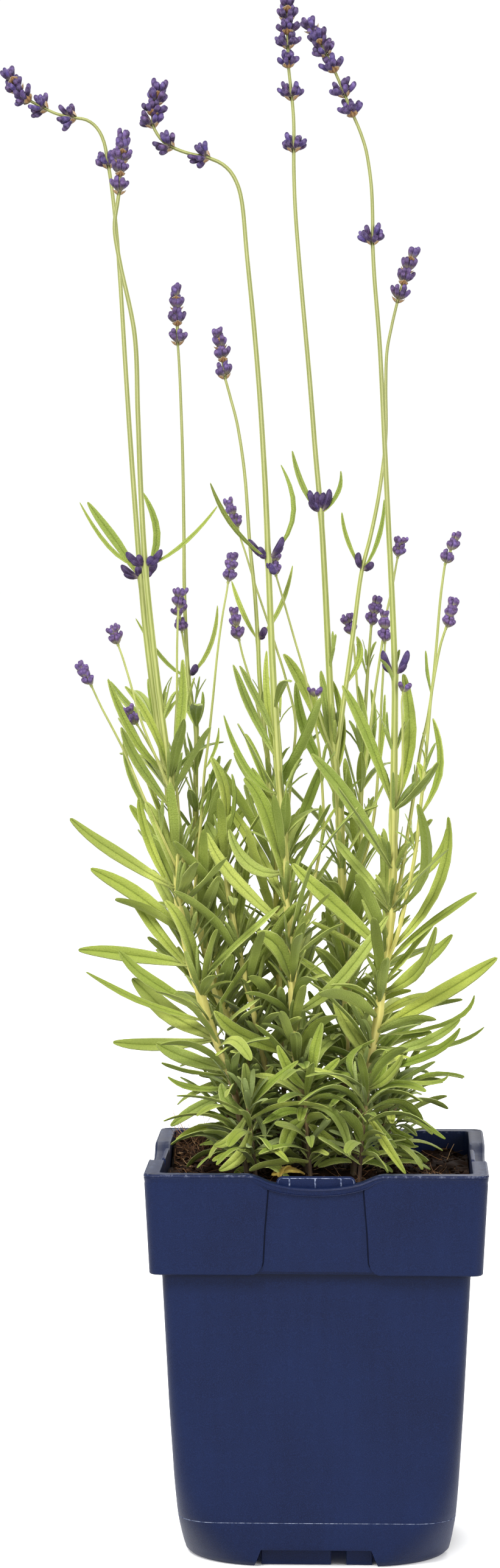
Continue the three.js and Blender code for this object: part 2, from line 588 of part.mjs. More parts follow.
// How wide the blade is along its length, as [place, share of the full width]. Every foot
// is as narrow as FOOT_WIDTH, so that it sits well inside the stem.
const LONG_BLADE = [[0.4, 0.95], [0.8, 0.9]];
const SHORT_BLADE = [[0.6, 1]];
const SHORT_LEAF = 24;
const FOOT_WIDTH = 1;

function blade(leaf) {
  const stations = leaf.length < SHORT_LEAF ? SHORT_BLADE : LONG_BLADE;
  const rings = [[0, FOOT_WIDTH / leaf.width], ...stations].map(([t, share]) => {
    const { at, across, above } = leafFrame(leaf, t);
    const half = (leaf.width * share) / 2;
    return [
      at.clone().addScaledVector(across, half),
      at.clone().addScaledVector(across, -half),
      at.clone().addScaledVector(above, -LEAF_THICKNESS),
    ];
  });
  rings.push([leaf.midrib.getPoint(1)]);
  return solid(loft(rings));
}

// Points all over a blade, with the share of its length where each one lies.
function bladePoints(leaf) {
  const steps = Math.ceil(leaf.length / 1.4);
  const points = [];
  for (let i = 1; i <= steps; i += 1) {
    const { at, across } = leafFrame(leaf, i / steps);
    for (const side of [-0.4, 0, 0.4]) {
      points.push([at.clone().addScaledVector(across, side * leaf.width), i / steps]);
    }
  }
  return points;
}

const CROWDED_FROM = 0.25;

function hasRoom(leaf, owner) {
  return bladePoints(leaf).every(([point, t]) => {
    if (touchesPotOrPeat(point)) return false;
    const holder = taken.get(keyOf(...cellOf(point)));
    if (holder === undefined || holder === owner) return true;
    return holder === `${owner} leaf` && t < CROWDED_FROM;
  });
}

// The first of the tried leaves that has room, if one has.
function settle(tries, owner) {
  const leaf = tries.find((one) => hasRoom(one, owner));
  if (leaf) bladePoints(leaf).forEach(([point]) => take(point, 0, `${owner} leaf`));
  return leaf ? [leaf] : [];
}

// Where an owner's stem or side stalks pass a height, nearest to a given x.
function footOn(routes, x, z) {
  let best = null;
  routes.forEach((route) => route.slice(1).forEach(([x1, z1, y1], i) => {
    const [x0, z0, y0] = route[i];
    if (z < z0 || z > z1) return;
    const share = (z - z0) / (z1 - z0);
    const here = [x0 + share * (x1 - x0), z, y0 + share * (y1 - y0)];
    if (!best || Math.abs(here[0] - x) < Math.abs(best[0] - x)) best = here;
  }));
  return best;
}

// A leaf read off singly. Where it would meet another it leans nearer the eye or further.
const LEANS = [0, -5, 5, -10, 10, -16, 16, -22, 22];

function singleLeaf(routes, [x, z, midX, midZ, tipX, tipZ, back, width, turn], owner) {
  const [footX, footZ, depth] = footOn(routes, x, z);
  return settle(LEANS.map((lean) => leafOf(
    seen(footX, footZ, depth),
    seen(midX, midZ, depth + (back + lean) * 0.45),
    seen(tipX, tipZ, depth + back + lean),
    width,
    turn,
  )), owner);
}

// A leaf that leaves its foot by a rule: compass bearing and angle from upright in degrees.
function ruledLeaf(foot, bearing, rise, droop, length, width, turn) {
  const [b, r, d] = [bearing, rise, rise + droop].map(THREE.MathUtils.degToRad);
  const out = new THREE.Vector3(Math.cos(b), Math.sin(b), 0);
  const step = (angle) => out.clone().multiplyScalar(Math.sin(angle)).addScaledVector(UP, Math.cos(angle));
  const middle = foot.clone().addScaledVector(step(r), length / 2);
  return leafOf(foot, middle, middle.clone().addScaledVector(step(d), length / 2), width, turn);
}

const SWINGS = [0, 22, -22, 44, -44, 66, -66, 88, -88];

// A pair of leaves, one in front of the stem and one behind it.
function leafPair(route, z, draw, owner) {
  const foot = seen(...footOn([route], 0, z));
  const length = 33 + 7 * draw();
  const width = 4.2 + 0.8 * draw();
  return [270 + 42 * draw(), 90 + 42 * draw()].flatMap((bearing) => {
    const rise = 52 + 12 * draw();
    const droop = 10 + 26 * draw();
    const turn = 20 * draw();
    return settle(SWINGS.map((swing) => ruledLeaf(
      foot, bearing + swing, rise, droop, length - Math.abs(swing) / 8, width, turn,
    )), owner);
  });
}

// Short leaves round a low shoot, drooping at its foot and rising at its top.
function spray(route, count, draw, owner) {
  const low = route[1][1] - 4;
  const high = route.at(-1)[1] - 1;
  return Array.from({ length: count }, (_, i) => {
    const share = i / (count - 1);
    const foot = seen(...footOn([route], 0, low + share * (high - low)));
    const bearing = 137.5 * i + 30 * draw();
    const rise = 78 - 48 * share + 8 * draw();
    const length = 23 + 4 * draw();
    return settle(SWINGS.map((swing) => ruledLeaf(
      foot, bearing + swing, rise, 34 - 20 * share, length, 3.4, 10,
    )), owner);
  }).flat();
}

// ---------------------------------------------------------------- spikes

// A spike's axis has flat faces. At a whorl each face of a short band of it is drawn out
// into one calyx, and the next whorl is turned by half a face.
function whorlsOf(frames, spike) {
  const kind = SPIKE_KINDS[spike.kind];
  return frames.map((frame, i) => {
    const turned = (Math.PI * (i % 2)) / kind.sides;
    const radius = kind.axis * (1 - (0.35 * i) / frames.length);
    const band = spike.points[i][3] ? WHORL_BAND : 0;
    const top = { ...frame, at: frame.at.clone().addScaledVector(frame.tangent, band) };
    const rings = [frame, top].map((one) => ringAt(one, radius, kind.sides, turned));
    const spread = i === frames.length - 1 ? 22 : kind.spread;
    return { frame, rings, calyxes: band ? calyxesOf(frame, rings, kind, spread) : [] };
  });
}

// The calyxes on one band: the four corners of the face, and the line from its middle.
function calyxesOf(frame, [lower, upper], kind, spread) {
  const angle = THREE.MathUtils.degToRad(spread);
  return lower.map((corner, k) => {
    const l = (k + 1) % lower.length;
    const corners = [corner, lower[l], upper[l], upper[k]];
    const middle = corner.clone().add(upper[l]).multiplyScalar(0.5);
    const out = middle.clone().sub(frame.at);
    out.addScaledVector(frame.tangent, -out.dot(frame.tangent)).normalize();
    const line = frame.tangent.clone().multiplyScalar(Math.cos(angle))
      .addScaledVector(out, Math.sin(angle)).addScaledVector(UP, 0.12)
      .setLength(kind.length);
    return { corners, middle, line };
  });
}

// A calyx swells from its face of the band to a wide mouth and closes in a point.
function calyxFaces({ corners, middle, line }, frame, half) {
  const side = frame.tangent.clone().cross(line).setLength(half);
  const over = line.clone().cross(side).setLength(half);
  const mouth = [[-1, -1], [1, -1], [0.3, 1], [-0.3, 1]].map(([s, o]) => middle.clone()
    .addScaledVector(line, 0.66).addScaledVector(side, 0.8 * s).addScaledVector(over, 0.8 * o));
  const tip = middle.clone().add(line);
  return mouth.flatMap((point, j) => {
    const k = (j + 1) % 4;
    return [corners[j], corners[k], mouth[k], corners[j], mouth[k], point, point, mouth[k], tip];
  });
}

function spikeSolid(frames, spike) {
  const { half } = SPIKE_KINDS[spike.kind];
  const whorls = whorlsOf(frames, spike);
  const around = (lower, upper) => lower.flatMap((corner, k) => {
    const l = (k + 1) % lower.length;
    return [corner, lower[l], upper[l], corner, upper[l], upper[k]];
  });
  const bands = whorls.flatMap(({ frame, calyxes }) => (
    calyxes.flatMap((calyx) => calyxFaces(calyx, frame, half))
  ));
  const gaps = whorls.slice(1).flatMap(({ rings: [lower] }, i) => around(whorls[i].rings[1], lower));
  const ends = [whorls[0].rings[0].toReversed(), whorls.at(-1).rings[1]].flatMap((ring) => (
    ring.slice(2).flatMap((corner, k) => [ring[0], ring[k + 1], corner])
  ));
  return solid(new THREE.BufferGeometry().setFromPoints([...bands, ...gaps, ...ends]));
}

// ---------------------------------------------------------------- the plant

const stalksOf = (owner) => STALKS.filter(([parent]) => parent === owner)
  .map(([, thick, route, kind, points]) => ({
    thick: [thick * 1.15, thick * 0.85], route, spike: { kind, points },
  }));

// Every axis of one leafy stem, with its frames split into the green part and the spike.
// The green part ends a seat's gap below the spike that it carries.
function axesOf(owner) {
  return [STEMS[owner], ...stalksOf(owner)].map((axis) => {
    const tops = axis.spike ? axis.spike.points : [];
    const frames = framesAlong([...axis.route, ...tops].map(([x, z, y]) => seen(x, z, y)));
    const n = axis.route.length;
    const spikeFrames = frames.slice(n);
    const stemFrames = frames.slice(0, n);
    if (axis.spike) {
      const seat = spikeFrames[0];
      stemFrames.push({ ...seat, at: seat.at.clone().addScaledVector(seat.tangent, -SEAT_GAP) });
    }
    return { ...axis, stemFrames, spikeFrames };
  });
}

function stemRadii({ thick: [foot, top], stemFrames }) {
  const last = stemFrames.length - 1;
  return stemFrames.map((_, i) => (foot + (top - foot) * (i / last)) / 2);
}

function takeAxis(axis, owner) {
  const radii = stemRadii(axis);
  const frames = [...axis.stemFrames, ...axis.spikeFrames];
  frames.slice(1).forEach((frame, i) => {
    const steps = Math.ceil(frame.at.distanceTo(frames[i].at) / 1.4);
    for (let s = 0; s <= steps; s += 1) {
      take(frames[i].at.clone().lerp(frame.at, s / steps), radii[Math.min(i, radii.length - 1)], owner);
    }
  });
}

function takeSpike(axis, owner) {
  whorlsOf(axis.spikeFrames, axis.spike).flatMap(({ calyxes }) => calyxes)
    .forEach(({ middle, line }) => {
      for (let s = 0; s <= 4; s += 1) take(middle.clone().addScaledVector(line, s / 4), 0.8, owner);
    });
}

const plant = Object.keys(STEMS).map((owner) => ({ owner, axes: axesOf(owner), leaves: [] }));
plant.forEach(({ owner, axes }) => axes.forEach((axis) => takeAxis(axis, owner)));
plant.forEach(({ owner, axes }) => axes.filter(({ spike }) => spike)
  .forEach((axis) => takeSpike(axis, `spike_of_${owner}`)));
plant.forEach((stem) => {
  const routes = stem.axes.map(({ route }) => route);
  (LEAVES[stem.owner] ?? []).forEach((row) => stem.leaves.push(...singleLeaf(routes, row, stem.owner)));
});
const draw = lottery(4711);
plant.forEach((stem) => {
  const { route, pairs, spray: count } = STEMS[stem.owner];
  (pairs ?? []).forEach((z) => stem.leaves.push(...leafPair(route, z, draw, stem.owner)));
  if (count) stem.leaves.push(...spray(route, count, draw, stem.owner));
});

function bud(routes, [x, z, tipX, tipZ]) {
  const [footX, footZ, depth] = footOn(routes, x, z);
  const [foot, tip] = [seen(footX, footZ, depth), seen(tipX, tipZ, depth - 1)];
  const [, end] = framesAlong([foot, tip]);
  const belly = { ...end, at: foot.clone().lerp(tip, 0.65) };
  return solid(loft([[foot], ringAt(belly, 1.4, 3), [tip]]));
}

function leafyStem({ owner, axes, leaves }) {
  const stalks = axes.map((axis) => tube(axis.stemFrames, stemRadii(axis)));
  const routes = axes.map(({ route }) => route);
  const buds = (BUDS[owner] ?? []).map((row) => bud(routes, row));
  return join([...stalks, ...leaves.map(blade), ...buds]);
}

// ---------------------------------------------------------------- the pot and its peat

const CORNER_STEPS = 3;

// A square with rounded corners at one height, counter-clockwise.
function squareRing(z, half, radius) {
  return [[1, 1], [-1, 1], [-1, -1], [1, -1]].flatMap(([sx, sy], corner) => (
    Array.from({ length: CORNER_STEPS + 1 }, (_, k) => {
      const angle = ((corner + k / CORNER_STEPS) * Math.PI) / 2;
      return new THREE.Vector3(
        sx * (half - radius) + radius * Math.cos(angle),
        sy * (half - radius) + radius * Math.sin(angle),
        z,
      );
    })
  ));
}

// The pot's half width and corner radius at a height, a wall's thickness or more inside.
function wallAt(z, inset = 0) {
  const above = Math.max(1, WALL_PROFILE.findIndex(([height]) => height >= z));
  const [z0, half0, radius0] = WALL_PROFILE[above - 1];
  const [z1, half1, radius1] = WALL_PROFILE[above];
  const share = (z - z0) / (z1 - z0);
  return [
    half0 + share * (half1 - half0) - inset,
    Math.max(radius0 + share * (radius1 - radius0) - inset, 1),
  ];
}

const wallTop = WALL_PROFILE.at(-1)[0];

// The space inside the wall between two heights, moved in by the inset.
function insideWall(from, to, inset) {
  const heights = [from, ...WALL_PROFILE.map(([z]) => z).filter((z) => z > from && z < to), to];
  return solid(loft(heights.map((z) => squareRing(z, ...wallAt(Math.min(z, wallTop), inset)))));
}

// A prism with its outline in x and z, between two distances from the axis, on each side.
function prismsRound(outline, from, to) {
  const shape = new THREE.Shape(outline.map(([x, z]) => new THREE.Vector2(x, z)));
  const front = new THREE.ExtrudeGeometry(shape, { depth: to - from, bevelEnabled: false })
    .rotateX(Math.PI / 2).translate(0, -from, 0);
  return [0, 1, 2, 3].map((side) => solid(front.clone().rotateZ((side * Math.PI) / 2)));
}

// The finger scoop in the middle of each side of the rim: x and depth under the rim.
const SCOOP_EDGE = [
  [SCOOP_HALF_WIDTH, 0], [21.5, 0.9], [17.6, 3], [9, 4.6], [0, SCOOP_DEPTH],
];
const scoopLine = [
  ...SCOOP_EDGE.map(([x, depth]) => [-x, POT_HEIGHT - depth]),
  ...SCOOP_EDGE.slice(0, -1).reverse().map(([x, depth]) => [x, POT_HEIGHT - depth]),
];

const collarFoot = POT_HEIGHT - COLLAR_HEIGHT;
const collarHalf = (z) => RIM_WIDTH / 2 - (COLLAR_FLARE * (POT_HEIGHT - z)) / COLLAR_HEIGHT;

function collarSolid(from, to, inset) {
  return solid(loft([from, to].map((z) => squareRing(z, collarHalf(z) - inset, 4 - inset))));
}

// The panel between the collar's raised corners, set back and open at the collar's foot.
const PANEL_DEPTH = 0.8;
const PANEL_EDGE = [[collarFoot - 1, 24.7], [collarFoot + 1.5, 21.8], [collarFoot + 4.4, 20.3],
  [POT_HEIGHT - 7.2, 18]];

function panelCuts() {
  const rings = PANEL_EDGE.map(([z, half]) => {
    const face = collarHalf(z) - PANEL_DEPTH;
    return [[-half, -face], [-half, -face - 5], [half, -face - 5], [half, -face]]
      .map(([x, y]) => new THREE.Vector3(x, y, z));
  });
  return [0, 1, 2, 3].map((side) => solid(loft(rings).rotateZ((side * Math.PI) / 2)));
}

// Under the floor: set-back bars behind each notch and the foot in the middle.
function underfloor() {
  const depth = FLOOR_UNDERSIDE + 0.5;
  const bar = (x0, x1) => prismsRound([[x0, 0], [x1, 0], [x1, depth], [x0, depth]], 45.2, 46.7);
  const foot = new THREE.CylinderGeometry(8, 8, depth, 12).rotateX(Math.PI / 2)
    .translate(0, 0, depth / 2);
  return [...bar(-21, 5.6), ...bar(11.4, 21.4), solid(foot)];
}

function drainHoles() {
  return [[1, 1], [-1, 1], [-1, -1], [1, -1]].map(([sx, sy]) => solid(
    new THREE.CylinderGeometry(4.5, 4.5, 12, 8).rotateX(Math.PI / 2)
      .translate(24 * sx, 24 * sy, FLOOR_UNDERSIDE),
  ));
}

function pot() {
  const floorTop = FLOOR_UNDERSIDE + WALL;
  const tabTop = POT_HEIGHT - 1;
  const tab = [[-TAB_HALF_WIDTH, wallTop - 6], [TAB_HALF_WIDTH, wallTop - 6],
    [TAB_HALF_WIDTH, tabTop - 2], [TAB_HALF_WIDTH - 2, tabTop],
    [-TAB_HALF_WIDTH + 2, tabTop], [-TAB_HALF_WIDTH, tabTop - 2]];
  const notch = [[-23.2, -1], [23.2, -1], [20.7, FLOOR_UNDERSIDE - 0.2],
    [-20.7, FLOOR_UNDERSIDE - 0.2]];
  const lip = [...scoopLine, ...scoopLine.map(([x, z]) => [x, z - WALL]).reverse()];
  const scoop = [...scoopLine, [SCOOP_HALF_WIDTH, POT_HEIGHT + 1], [-SCOOP_HALF_WIDTH, POT_HEIGHT + 1]];
  const collar = collarSolid(collarFoot, POT_HEIGHT, 0)
    .subtract(collarSolid(collarFoot - 1, POT_HEIGHT - WALL, WALL));
  const inside = [insideWall(floorTop, POT_HEIGHT + 1, WALL), insideWall(0, FLOOR_UNDERSIDE, WALL)];
  const shell = join([insideWall(0, wallTop, 0), collar]).subtract(join(inside));
  const scooped = shell.subtract(join(prismsRound(scoop, 55, 70)));
  const lipped = join([scooped, ...prismsRound(lip, wallAt(148)[0] - 0.8, collarHalf(148) - 0.6)]);
  const tabbed = join([lipped, ...prismsRound(tab, wallAt(148)[0] - WALL, wallAt(148)[0] - 0.1)]);
  const cut = tabbed.subtract(join([...panelCuts(), ...prismsRound(notch, 46.9, 56), ...drainHoles()]));
  return join([cut, ...underfloor()]);
}

// The peat: snug in the pot, crumbly on top, with a plain hole for each stem.
function peat() {
  const floor = FLOOR_UNDERSIDE + WALL + SEAT_GAP;
  const inset = WALL + 1.5 * SEAT_GAP;
  const heights = [floor, ...WALL_PROFILE.map(([z]) => z).filter((z) => z > floor && z < SOIL_TOP - 12)];
  const sides = heights.map((z) => squareRing(z, ...wallAt(z, inset)));
  const [half, radius] = wallAt(SOIL_TOP, inset);
  const top = [1, 0.86, 0.7, 0.52, 0.34, 0.17].map((share) => squareRing(0, half * share, radius)
    .map(({ x, y }) => new THREE.Vector3(x, y, peatTop(x, y))));
  const middle = [new THREE.Vector3(0, 0, peatTop(0, 0))];
  const holes = plant.map(({ axes: [axis] }) => {
    const [foot, next] = axis.stemFrames;
    const below = { ...foot, at: foot.at.clone().addScaledVector(foot.tangent, -SEAT_GAP) };
    const radius = axis.thick[0] / 2 + SEAT_GAP * Math.SQRT2;
    return tube([below, next], [radius, radius]);
  });
  return solid(loft([...sides, ...top, middle])).subtract(join(holes));
}

// ---------------------------------------------------------------- the group

const group = new THREE.Group();

function add(name, body, color, roughness) {
  const mesh = new THREE.Mesh(
    geometryOf(body),
    new THREE.MeshStandardMaterial({ color, roughness, metalness: 0 }),
  );
  mesh.name = name;
  group.add(mesh);
}

add('pot', pot(), COLOURS.plastic, 0.45);
add('peat', peat(), COLOURS.peat, 0.95);
plant.forEach((stem) => {
  add(`stem_${stem.owner}`, leafyStem(stem), stem.leaves.length > 20 ? COLOURS.leaf : COLOURS.stem, 0.7);
  stem.axes.filter(({ spike }) => spike).forEach((axis, i) => {
    add(`spike_${stem.owner}_${i + 1}`, spikeSolid(axis.spikeFrames, axis.spike), COLOURS.calyx, 0.85);
  });
});

export default group;
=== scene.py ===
# A flowering lavender clump growing in a square moulded nursery pot.
# Lengths are millimetres until a piece is made, and metres in the scene. +Z is up and -Y
# is the front.

import json
from math import ceil, copysign, cos, exp, floor, hypot, pi, radians, sin, sqrt

import bpy
import numpy as np
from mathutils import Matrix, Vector

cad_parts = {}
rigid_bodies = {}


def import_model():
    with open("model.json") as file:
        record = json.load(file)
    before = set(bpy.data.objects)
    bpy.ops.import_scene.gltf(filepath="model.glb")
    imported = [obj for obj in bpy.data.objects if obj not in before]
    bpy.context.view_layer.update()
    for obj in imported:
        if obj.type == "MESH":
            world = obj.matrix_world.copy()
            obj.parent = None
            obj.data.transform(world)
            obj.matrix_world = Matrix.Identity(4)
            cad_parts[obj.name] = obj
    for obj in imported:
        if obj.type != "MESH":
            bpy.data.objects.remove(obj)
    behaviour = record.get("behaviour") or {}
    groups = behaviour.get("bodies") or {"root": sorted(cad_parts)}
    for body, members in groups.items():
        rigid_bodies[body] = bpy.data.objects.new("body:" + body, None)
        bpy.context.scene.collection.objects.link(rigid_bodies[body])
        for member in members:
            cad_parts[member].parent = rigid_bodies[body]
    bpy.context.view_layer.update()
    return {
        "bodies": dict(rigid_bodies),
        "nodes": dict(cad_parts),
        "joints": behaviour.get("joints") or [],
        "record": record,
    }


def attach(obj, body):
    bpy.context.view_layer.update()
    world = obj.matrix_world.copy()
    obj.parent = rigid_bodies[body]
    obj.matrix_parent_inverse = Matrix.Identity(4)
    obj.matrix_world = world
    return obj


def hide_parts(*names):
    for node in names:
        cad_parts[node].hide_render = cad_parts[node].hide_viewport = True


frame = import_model()

# ---- driving dimensions

RIM_WIDTH = 130.0
POT_HEIGHT = 152.4
COLLAR_FOOT = 114.0
COLLAR_FLARE = 2.0
WALL = 1.6
FLOOR_UNDERSIDE = 6.8
SOIL_TOP = 143.8
STEM_FOOT = 127
SEAT_GAP = 0.3

# The pot's wall from the ground up: height, half width and corner radius of its outside.
WALL_PROFILE = [
    (0, 49.3, 30), (1.8, 51, 30.5), (6.8, 51.9, 25), (17.4, 53.3, 15.6),
    (32, 54.3, 9.5), (62, 56, 5.6), (112, 58.4, 4.2), (151, 60.9, 4.2),
]

# The eye that the routes below were sighted from. A route's points are [x, z, y]:
# x and z as they look in the plane y = 0 from this eye, and y the point's own depth.
EYE = (29.3, -1711.0, 397.0)

# ---- the plant's routes

# The stems, each with its thickness at foot and top, the points it grows through, the
# heights of its leaf pairs or the number of leaves in its spray, and its spike. A spike's
# points run from its foot up, and the last number of each says how many calyxes its whorl
# has in the solids; nought is a point without a whorl.
STEMS = {
  "left_front": {
    "thick": [3.6, 2.3],
    "route": [
      [-26, STEM_FOOT, -21], [-30, 160, -20], [-34, 180, -19], [-39.5, 194, -18], [-45, 210, -17],
      [-50.5, 228, -17], [-54.5, 250, -17], [-55.5, 272, -17], [-58, 298, -17], [-61.5, 325, -17],
      [-64.5, 350, -18], [-67.5, 380.5, -18], [-69.2, 410, -19], [-70.3, 440, -20],
      [-71.5, 470, -21], [-77, 497, -22], [-79.2, 511, -22], [-78, 521, -23],
    ],
    "pairs": [213, 252, 298],
    "spike": {"kind": "full", "points": [
      [-77.4, 525, -23, 5], [-77, 532, -23, 6], [-76.6, 536.5, -23, 6], [-76.3, 540.5, -23, 6],
      [-76, 543.5, -23, 3],
    ]},
  },
  "left_back": {
    "thick": [3.4, 2.3],
    "route": [
      [-20, STEM_FOOT, -4], [-24, 165, -5], [-30, 192, -5], [-36, 205, -5], [-41, 219, -5],
      [-45.5, 236, -5], [-50.5, 256, -5], [-57, 285, -5], [-62.5, 318, -5], [-67, 352, -5],
      [-69.3, 376, -5], [-71.3, 402, -4], [-73.3, 430, -3], [-75.2, 460, -2], [-77, 490, 0],
      [-78.6, 511, 2], [-80.3, 527, 3],
    ],
    "pairs": [215, 240, 265, 292, 318],
    "spike": {"kind": "open", "points": [
      [-81.5, 535, 4, 5], [-83.2, 544, 5, 0], [-86, 549.6, 6, 0], [-90, 552.6, 6, 0],
      [-95, 553.5, 7, 6], [-101, 554.8, 7, 0], [-106, 557, 8, 6], [-112.5, 560.5, 8, 6],
      [-116, 564, 8, 6], [-118.3, 567.5, 8, 4],
    ]},
  },
  "centre": {
    "thick": [3.8, 2.3],
    "route": [
      [-4, STEM_FOOT, -16], [-6, 165, -15], [-9, 190, -14], [-10, 210, -13], [-11, 235, -12],
      [-12.8, 258, -12], [-14.5, 285, -12], [-16, 305, -12], [-17.5, 330, -12],
      [-18.8, 358, -11], [-19.8, 383.5, -10], [-21, 412, -9], [-23, 445, -7],
      [-25.5, 475, -6], [-28, 500, -5], [-30, 521, -4], [-33, 530.5, -4], [-37.5, 535.5, -4],
    ],
    "pairs": [185, 228, 275, 325],
    "spike": {"kind": "open", "points": [
      [-43.5, 538.2, -4, 5], [-51, 539.8, -4, 0], [-57.3, 542.3, -4, 6], [-61.5, 545.5, -4, 0],
      [-64.3, 550.5, -4, 6], [-64.2, 555, -4, 6], [-63.3, 559, -4, 5], [-62.5, 562, -4, 3],
    ]},
  },
  "middle_back": {
    "thick": [3.8, 2.3],
    "route": [
      [7, STEM_FOOT, 14], [9, 165, 14], [10.5, 200, 13], [11, 225, 13], [9.5, 248, 12],
      [8.5, 272, 12], [7.8, 290, 12], [6.3, 304, 12], [5, 320, 12], [3.4, 350, 13],
      [2, 378, 14], [0.6, 401, 15], [-1.5, 424, 17], [-4, 455, 20], [-7, 488, 23],
      [-9.2, 515, 26], [-9.9, 531, 27],
    ],
    "pairs": [190, 218, 248, 280],
    "spike": {"kind": "open", "points": [
      [-10, 541, 28, 5], [-10, 551, 28, 0], [-10.7, 560.8, 29, 5], [-12.1, 573.3, 29, 6],
      [-12.3, 580.5, 29, 7], [-12.4, 586, 29, 6], [-12.6, 590.5, 29, 6], [-12.6, 594.5, 29, 3],
    ]},
  },
  "right": {
    "thick": [3.8, 2.3],
    "route": [
      [12, STEM_FOOT, -16], [15.5, 165, -15], [19, 184, -14], [22.5, 202, -13],
      [25.3, 222, -12], [27.5, 240, -12], [28.8, 262, -12], [28.9, 286, -12],
      [29.2, 312, -12], [29.3, 338.5, -12], [28.2, 368, -13], [26.7, 397, -14],
      [25, 432, -15], [23.3, 465, -16], [21.2, 491, -17],
    ],
    "pairs": [208, 246, 286],
    "spike": {"kind": "open", "points": [
      [20.4, 505.5, -18, 5], [20.4, 516, -19, 0], [19.8, 528, -20, 0], [18, 540, -20, 0],
      [15.5, 548, -21, 0], [12.7, 554.5, -21, 6], [9.6, 562, -22, 6], [5.5, 571.5, -22, 6],
      [2.4, 577.5, -23, 6], [0, 582, -23, 6], [-2.6, 586.5, -24, 5],
    ]},
  },
  "left_slim": {
    "thick": [2.6, 1.5],
    "route": [
      [-15, STEM_FOOT, 10], [-20, 165, 9], [-30, 195, 8], [-38, 220, 7], [-44, 245, 6],
      [-47.5, 270, 6], [-48, 295, 6], [-47.8, 318, 6], [-50, 330, 6], [-51.3, 345, 6],
      [-52.3, 370, 6], [-52.5, 395, 7], [-53, 425, 8], [-54, 453, 10],
    ],
    "pairs": [190, 220, 250, 285, 318],
    "spike": {"kind": "full", "points": [
      [-54.8, 467, 11, 4], [-55, 474.5, 11, 6], [-55.2, 480, 11, 6], [-55.2, 484, 11, 3],
    ]},
  },
  "centre_slim": {
    "thick": [2.6, 1.5],
    "route": [
      [-11, STEM_FOOT, 3], [-13, 165, 3], [-15, 200, 4], [-16, 235, 5], [-17.5, 270, 5],
      [-19.5, 300, 6], [-21.5, 320, 6], [-23.2, 338, 6], [-23.8, 352, 6], [-25, 370, 7],
      [-27, 390, 8], [-28.8, 415, 9], [-31.5, 434, 10], [-34.5, 446, 11],
    ],
    "pairs": [185, 210, 238, 266, 296],
    "spike": {"kind": "full", "points": [
      [-36.7, 454, 12, 3], [-37.4, 460.5, 12, 6], [-38.2, 465, 12, 6], [-38.7, 467.8, 12, 3],
    ]},
  },
  "right_back": {
    "thick": [2.8, 1.2],
    "route": [
      [4, STEM_FOOT, 27], [7, 165, 26], [11, 200, 25], [14, 232, 24], [15.8, 262, 23],
      [16.3, 293, 22], [17.3, 315, 22], [18.5, 335, 22], [19.4, 348, 22],
    ],
    "pairs": [185, 210, 240, 268, 293],
    "spike": {"kind": "young", "points": [
      [20.2, 358, 22, 5], [21, 362, 22, 5], [21.8, 365, 22, 3],
    ]},
  },
  "inner_shoot": {
    "thick": [2.6, 1.6],
    "route": [[-12, STEM_FOOT, -7], [-17, 165, -8], [-24, 200, -10], [-33, 240, -10],
      [-37.2, 268, -9], [-37.6, 279, -9]],
    "pairs": [190, 215, 245],
  },
  "tuft_front": {
    "thick": [2.4, 1.6],
    "route": [[-2, STEM_FOOT, -27], [-4.5, 160, -27], [-5, 172, -27], [-3.5, 182, -27]],
    "spray": 4,
  },
  "tuft_front_left": {
    "thick": [2.4, 1.6],
    "route": [[-23, STEM_FOOT, -30], [-26, 156, -30], [-28, 171, -31]],
    "spray": 5,
  },
  "tuft_front_right": {
    "thick": [2.4, 1.6],
    "route": [[15, STEM_FOOT, -30], [17, 157, -30], [19.5, 179, -30]],
    "spray": 6,
  },
  "tuft_right": {
    "thick": [2.4, 1.6],
    "route": [[22, STEM_FOOT, -8], [24.5, 156, -7], [27, 176, -6]],
    "spray": 6,
  },
  "tuft_left": {
    "thick": [2.4, 1.6],
    "route": [[-30, STEM_FOOT, -7], [-33, 152, -8], [-36, 168, -9]],
    "spray": 6,
  },
  "tuft_back_left": {
    "thick": [2.4, 1.6],
    "route": [[-22, STEM_FOOT, 24], [-26, 158, 28], [-30, 180, 31]],
    "spray": 9,
  },
  "tuft_back": {
    "thick": [2.4, 1.6],
    "route": [[-6, STEM_FOOT, 30], [-7, 158, 36], [-6, 182, 40]],
    "spray": 9,
  },
  "tuft_back_right": {
    "thick": [2.4, 1.6],
    "route": [[22, STEM_FOOT, 14], [27, 158, 16], [33, 182, 18]],
    "spray": 9,
  },
}

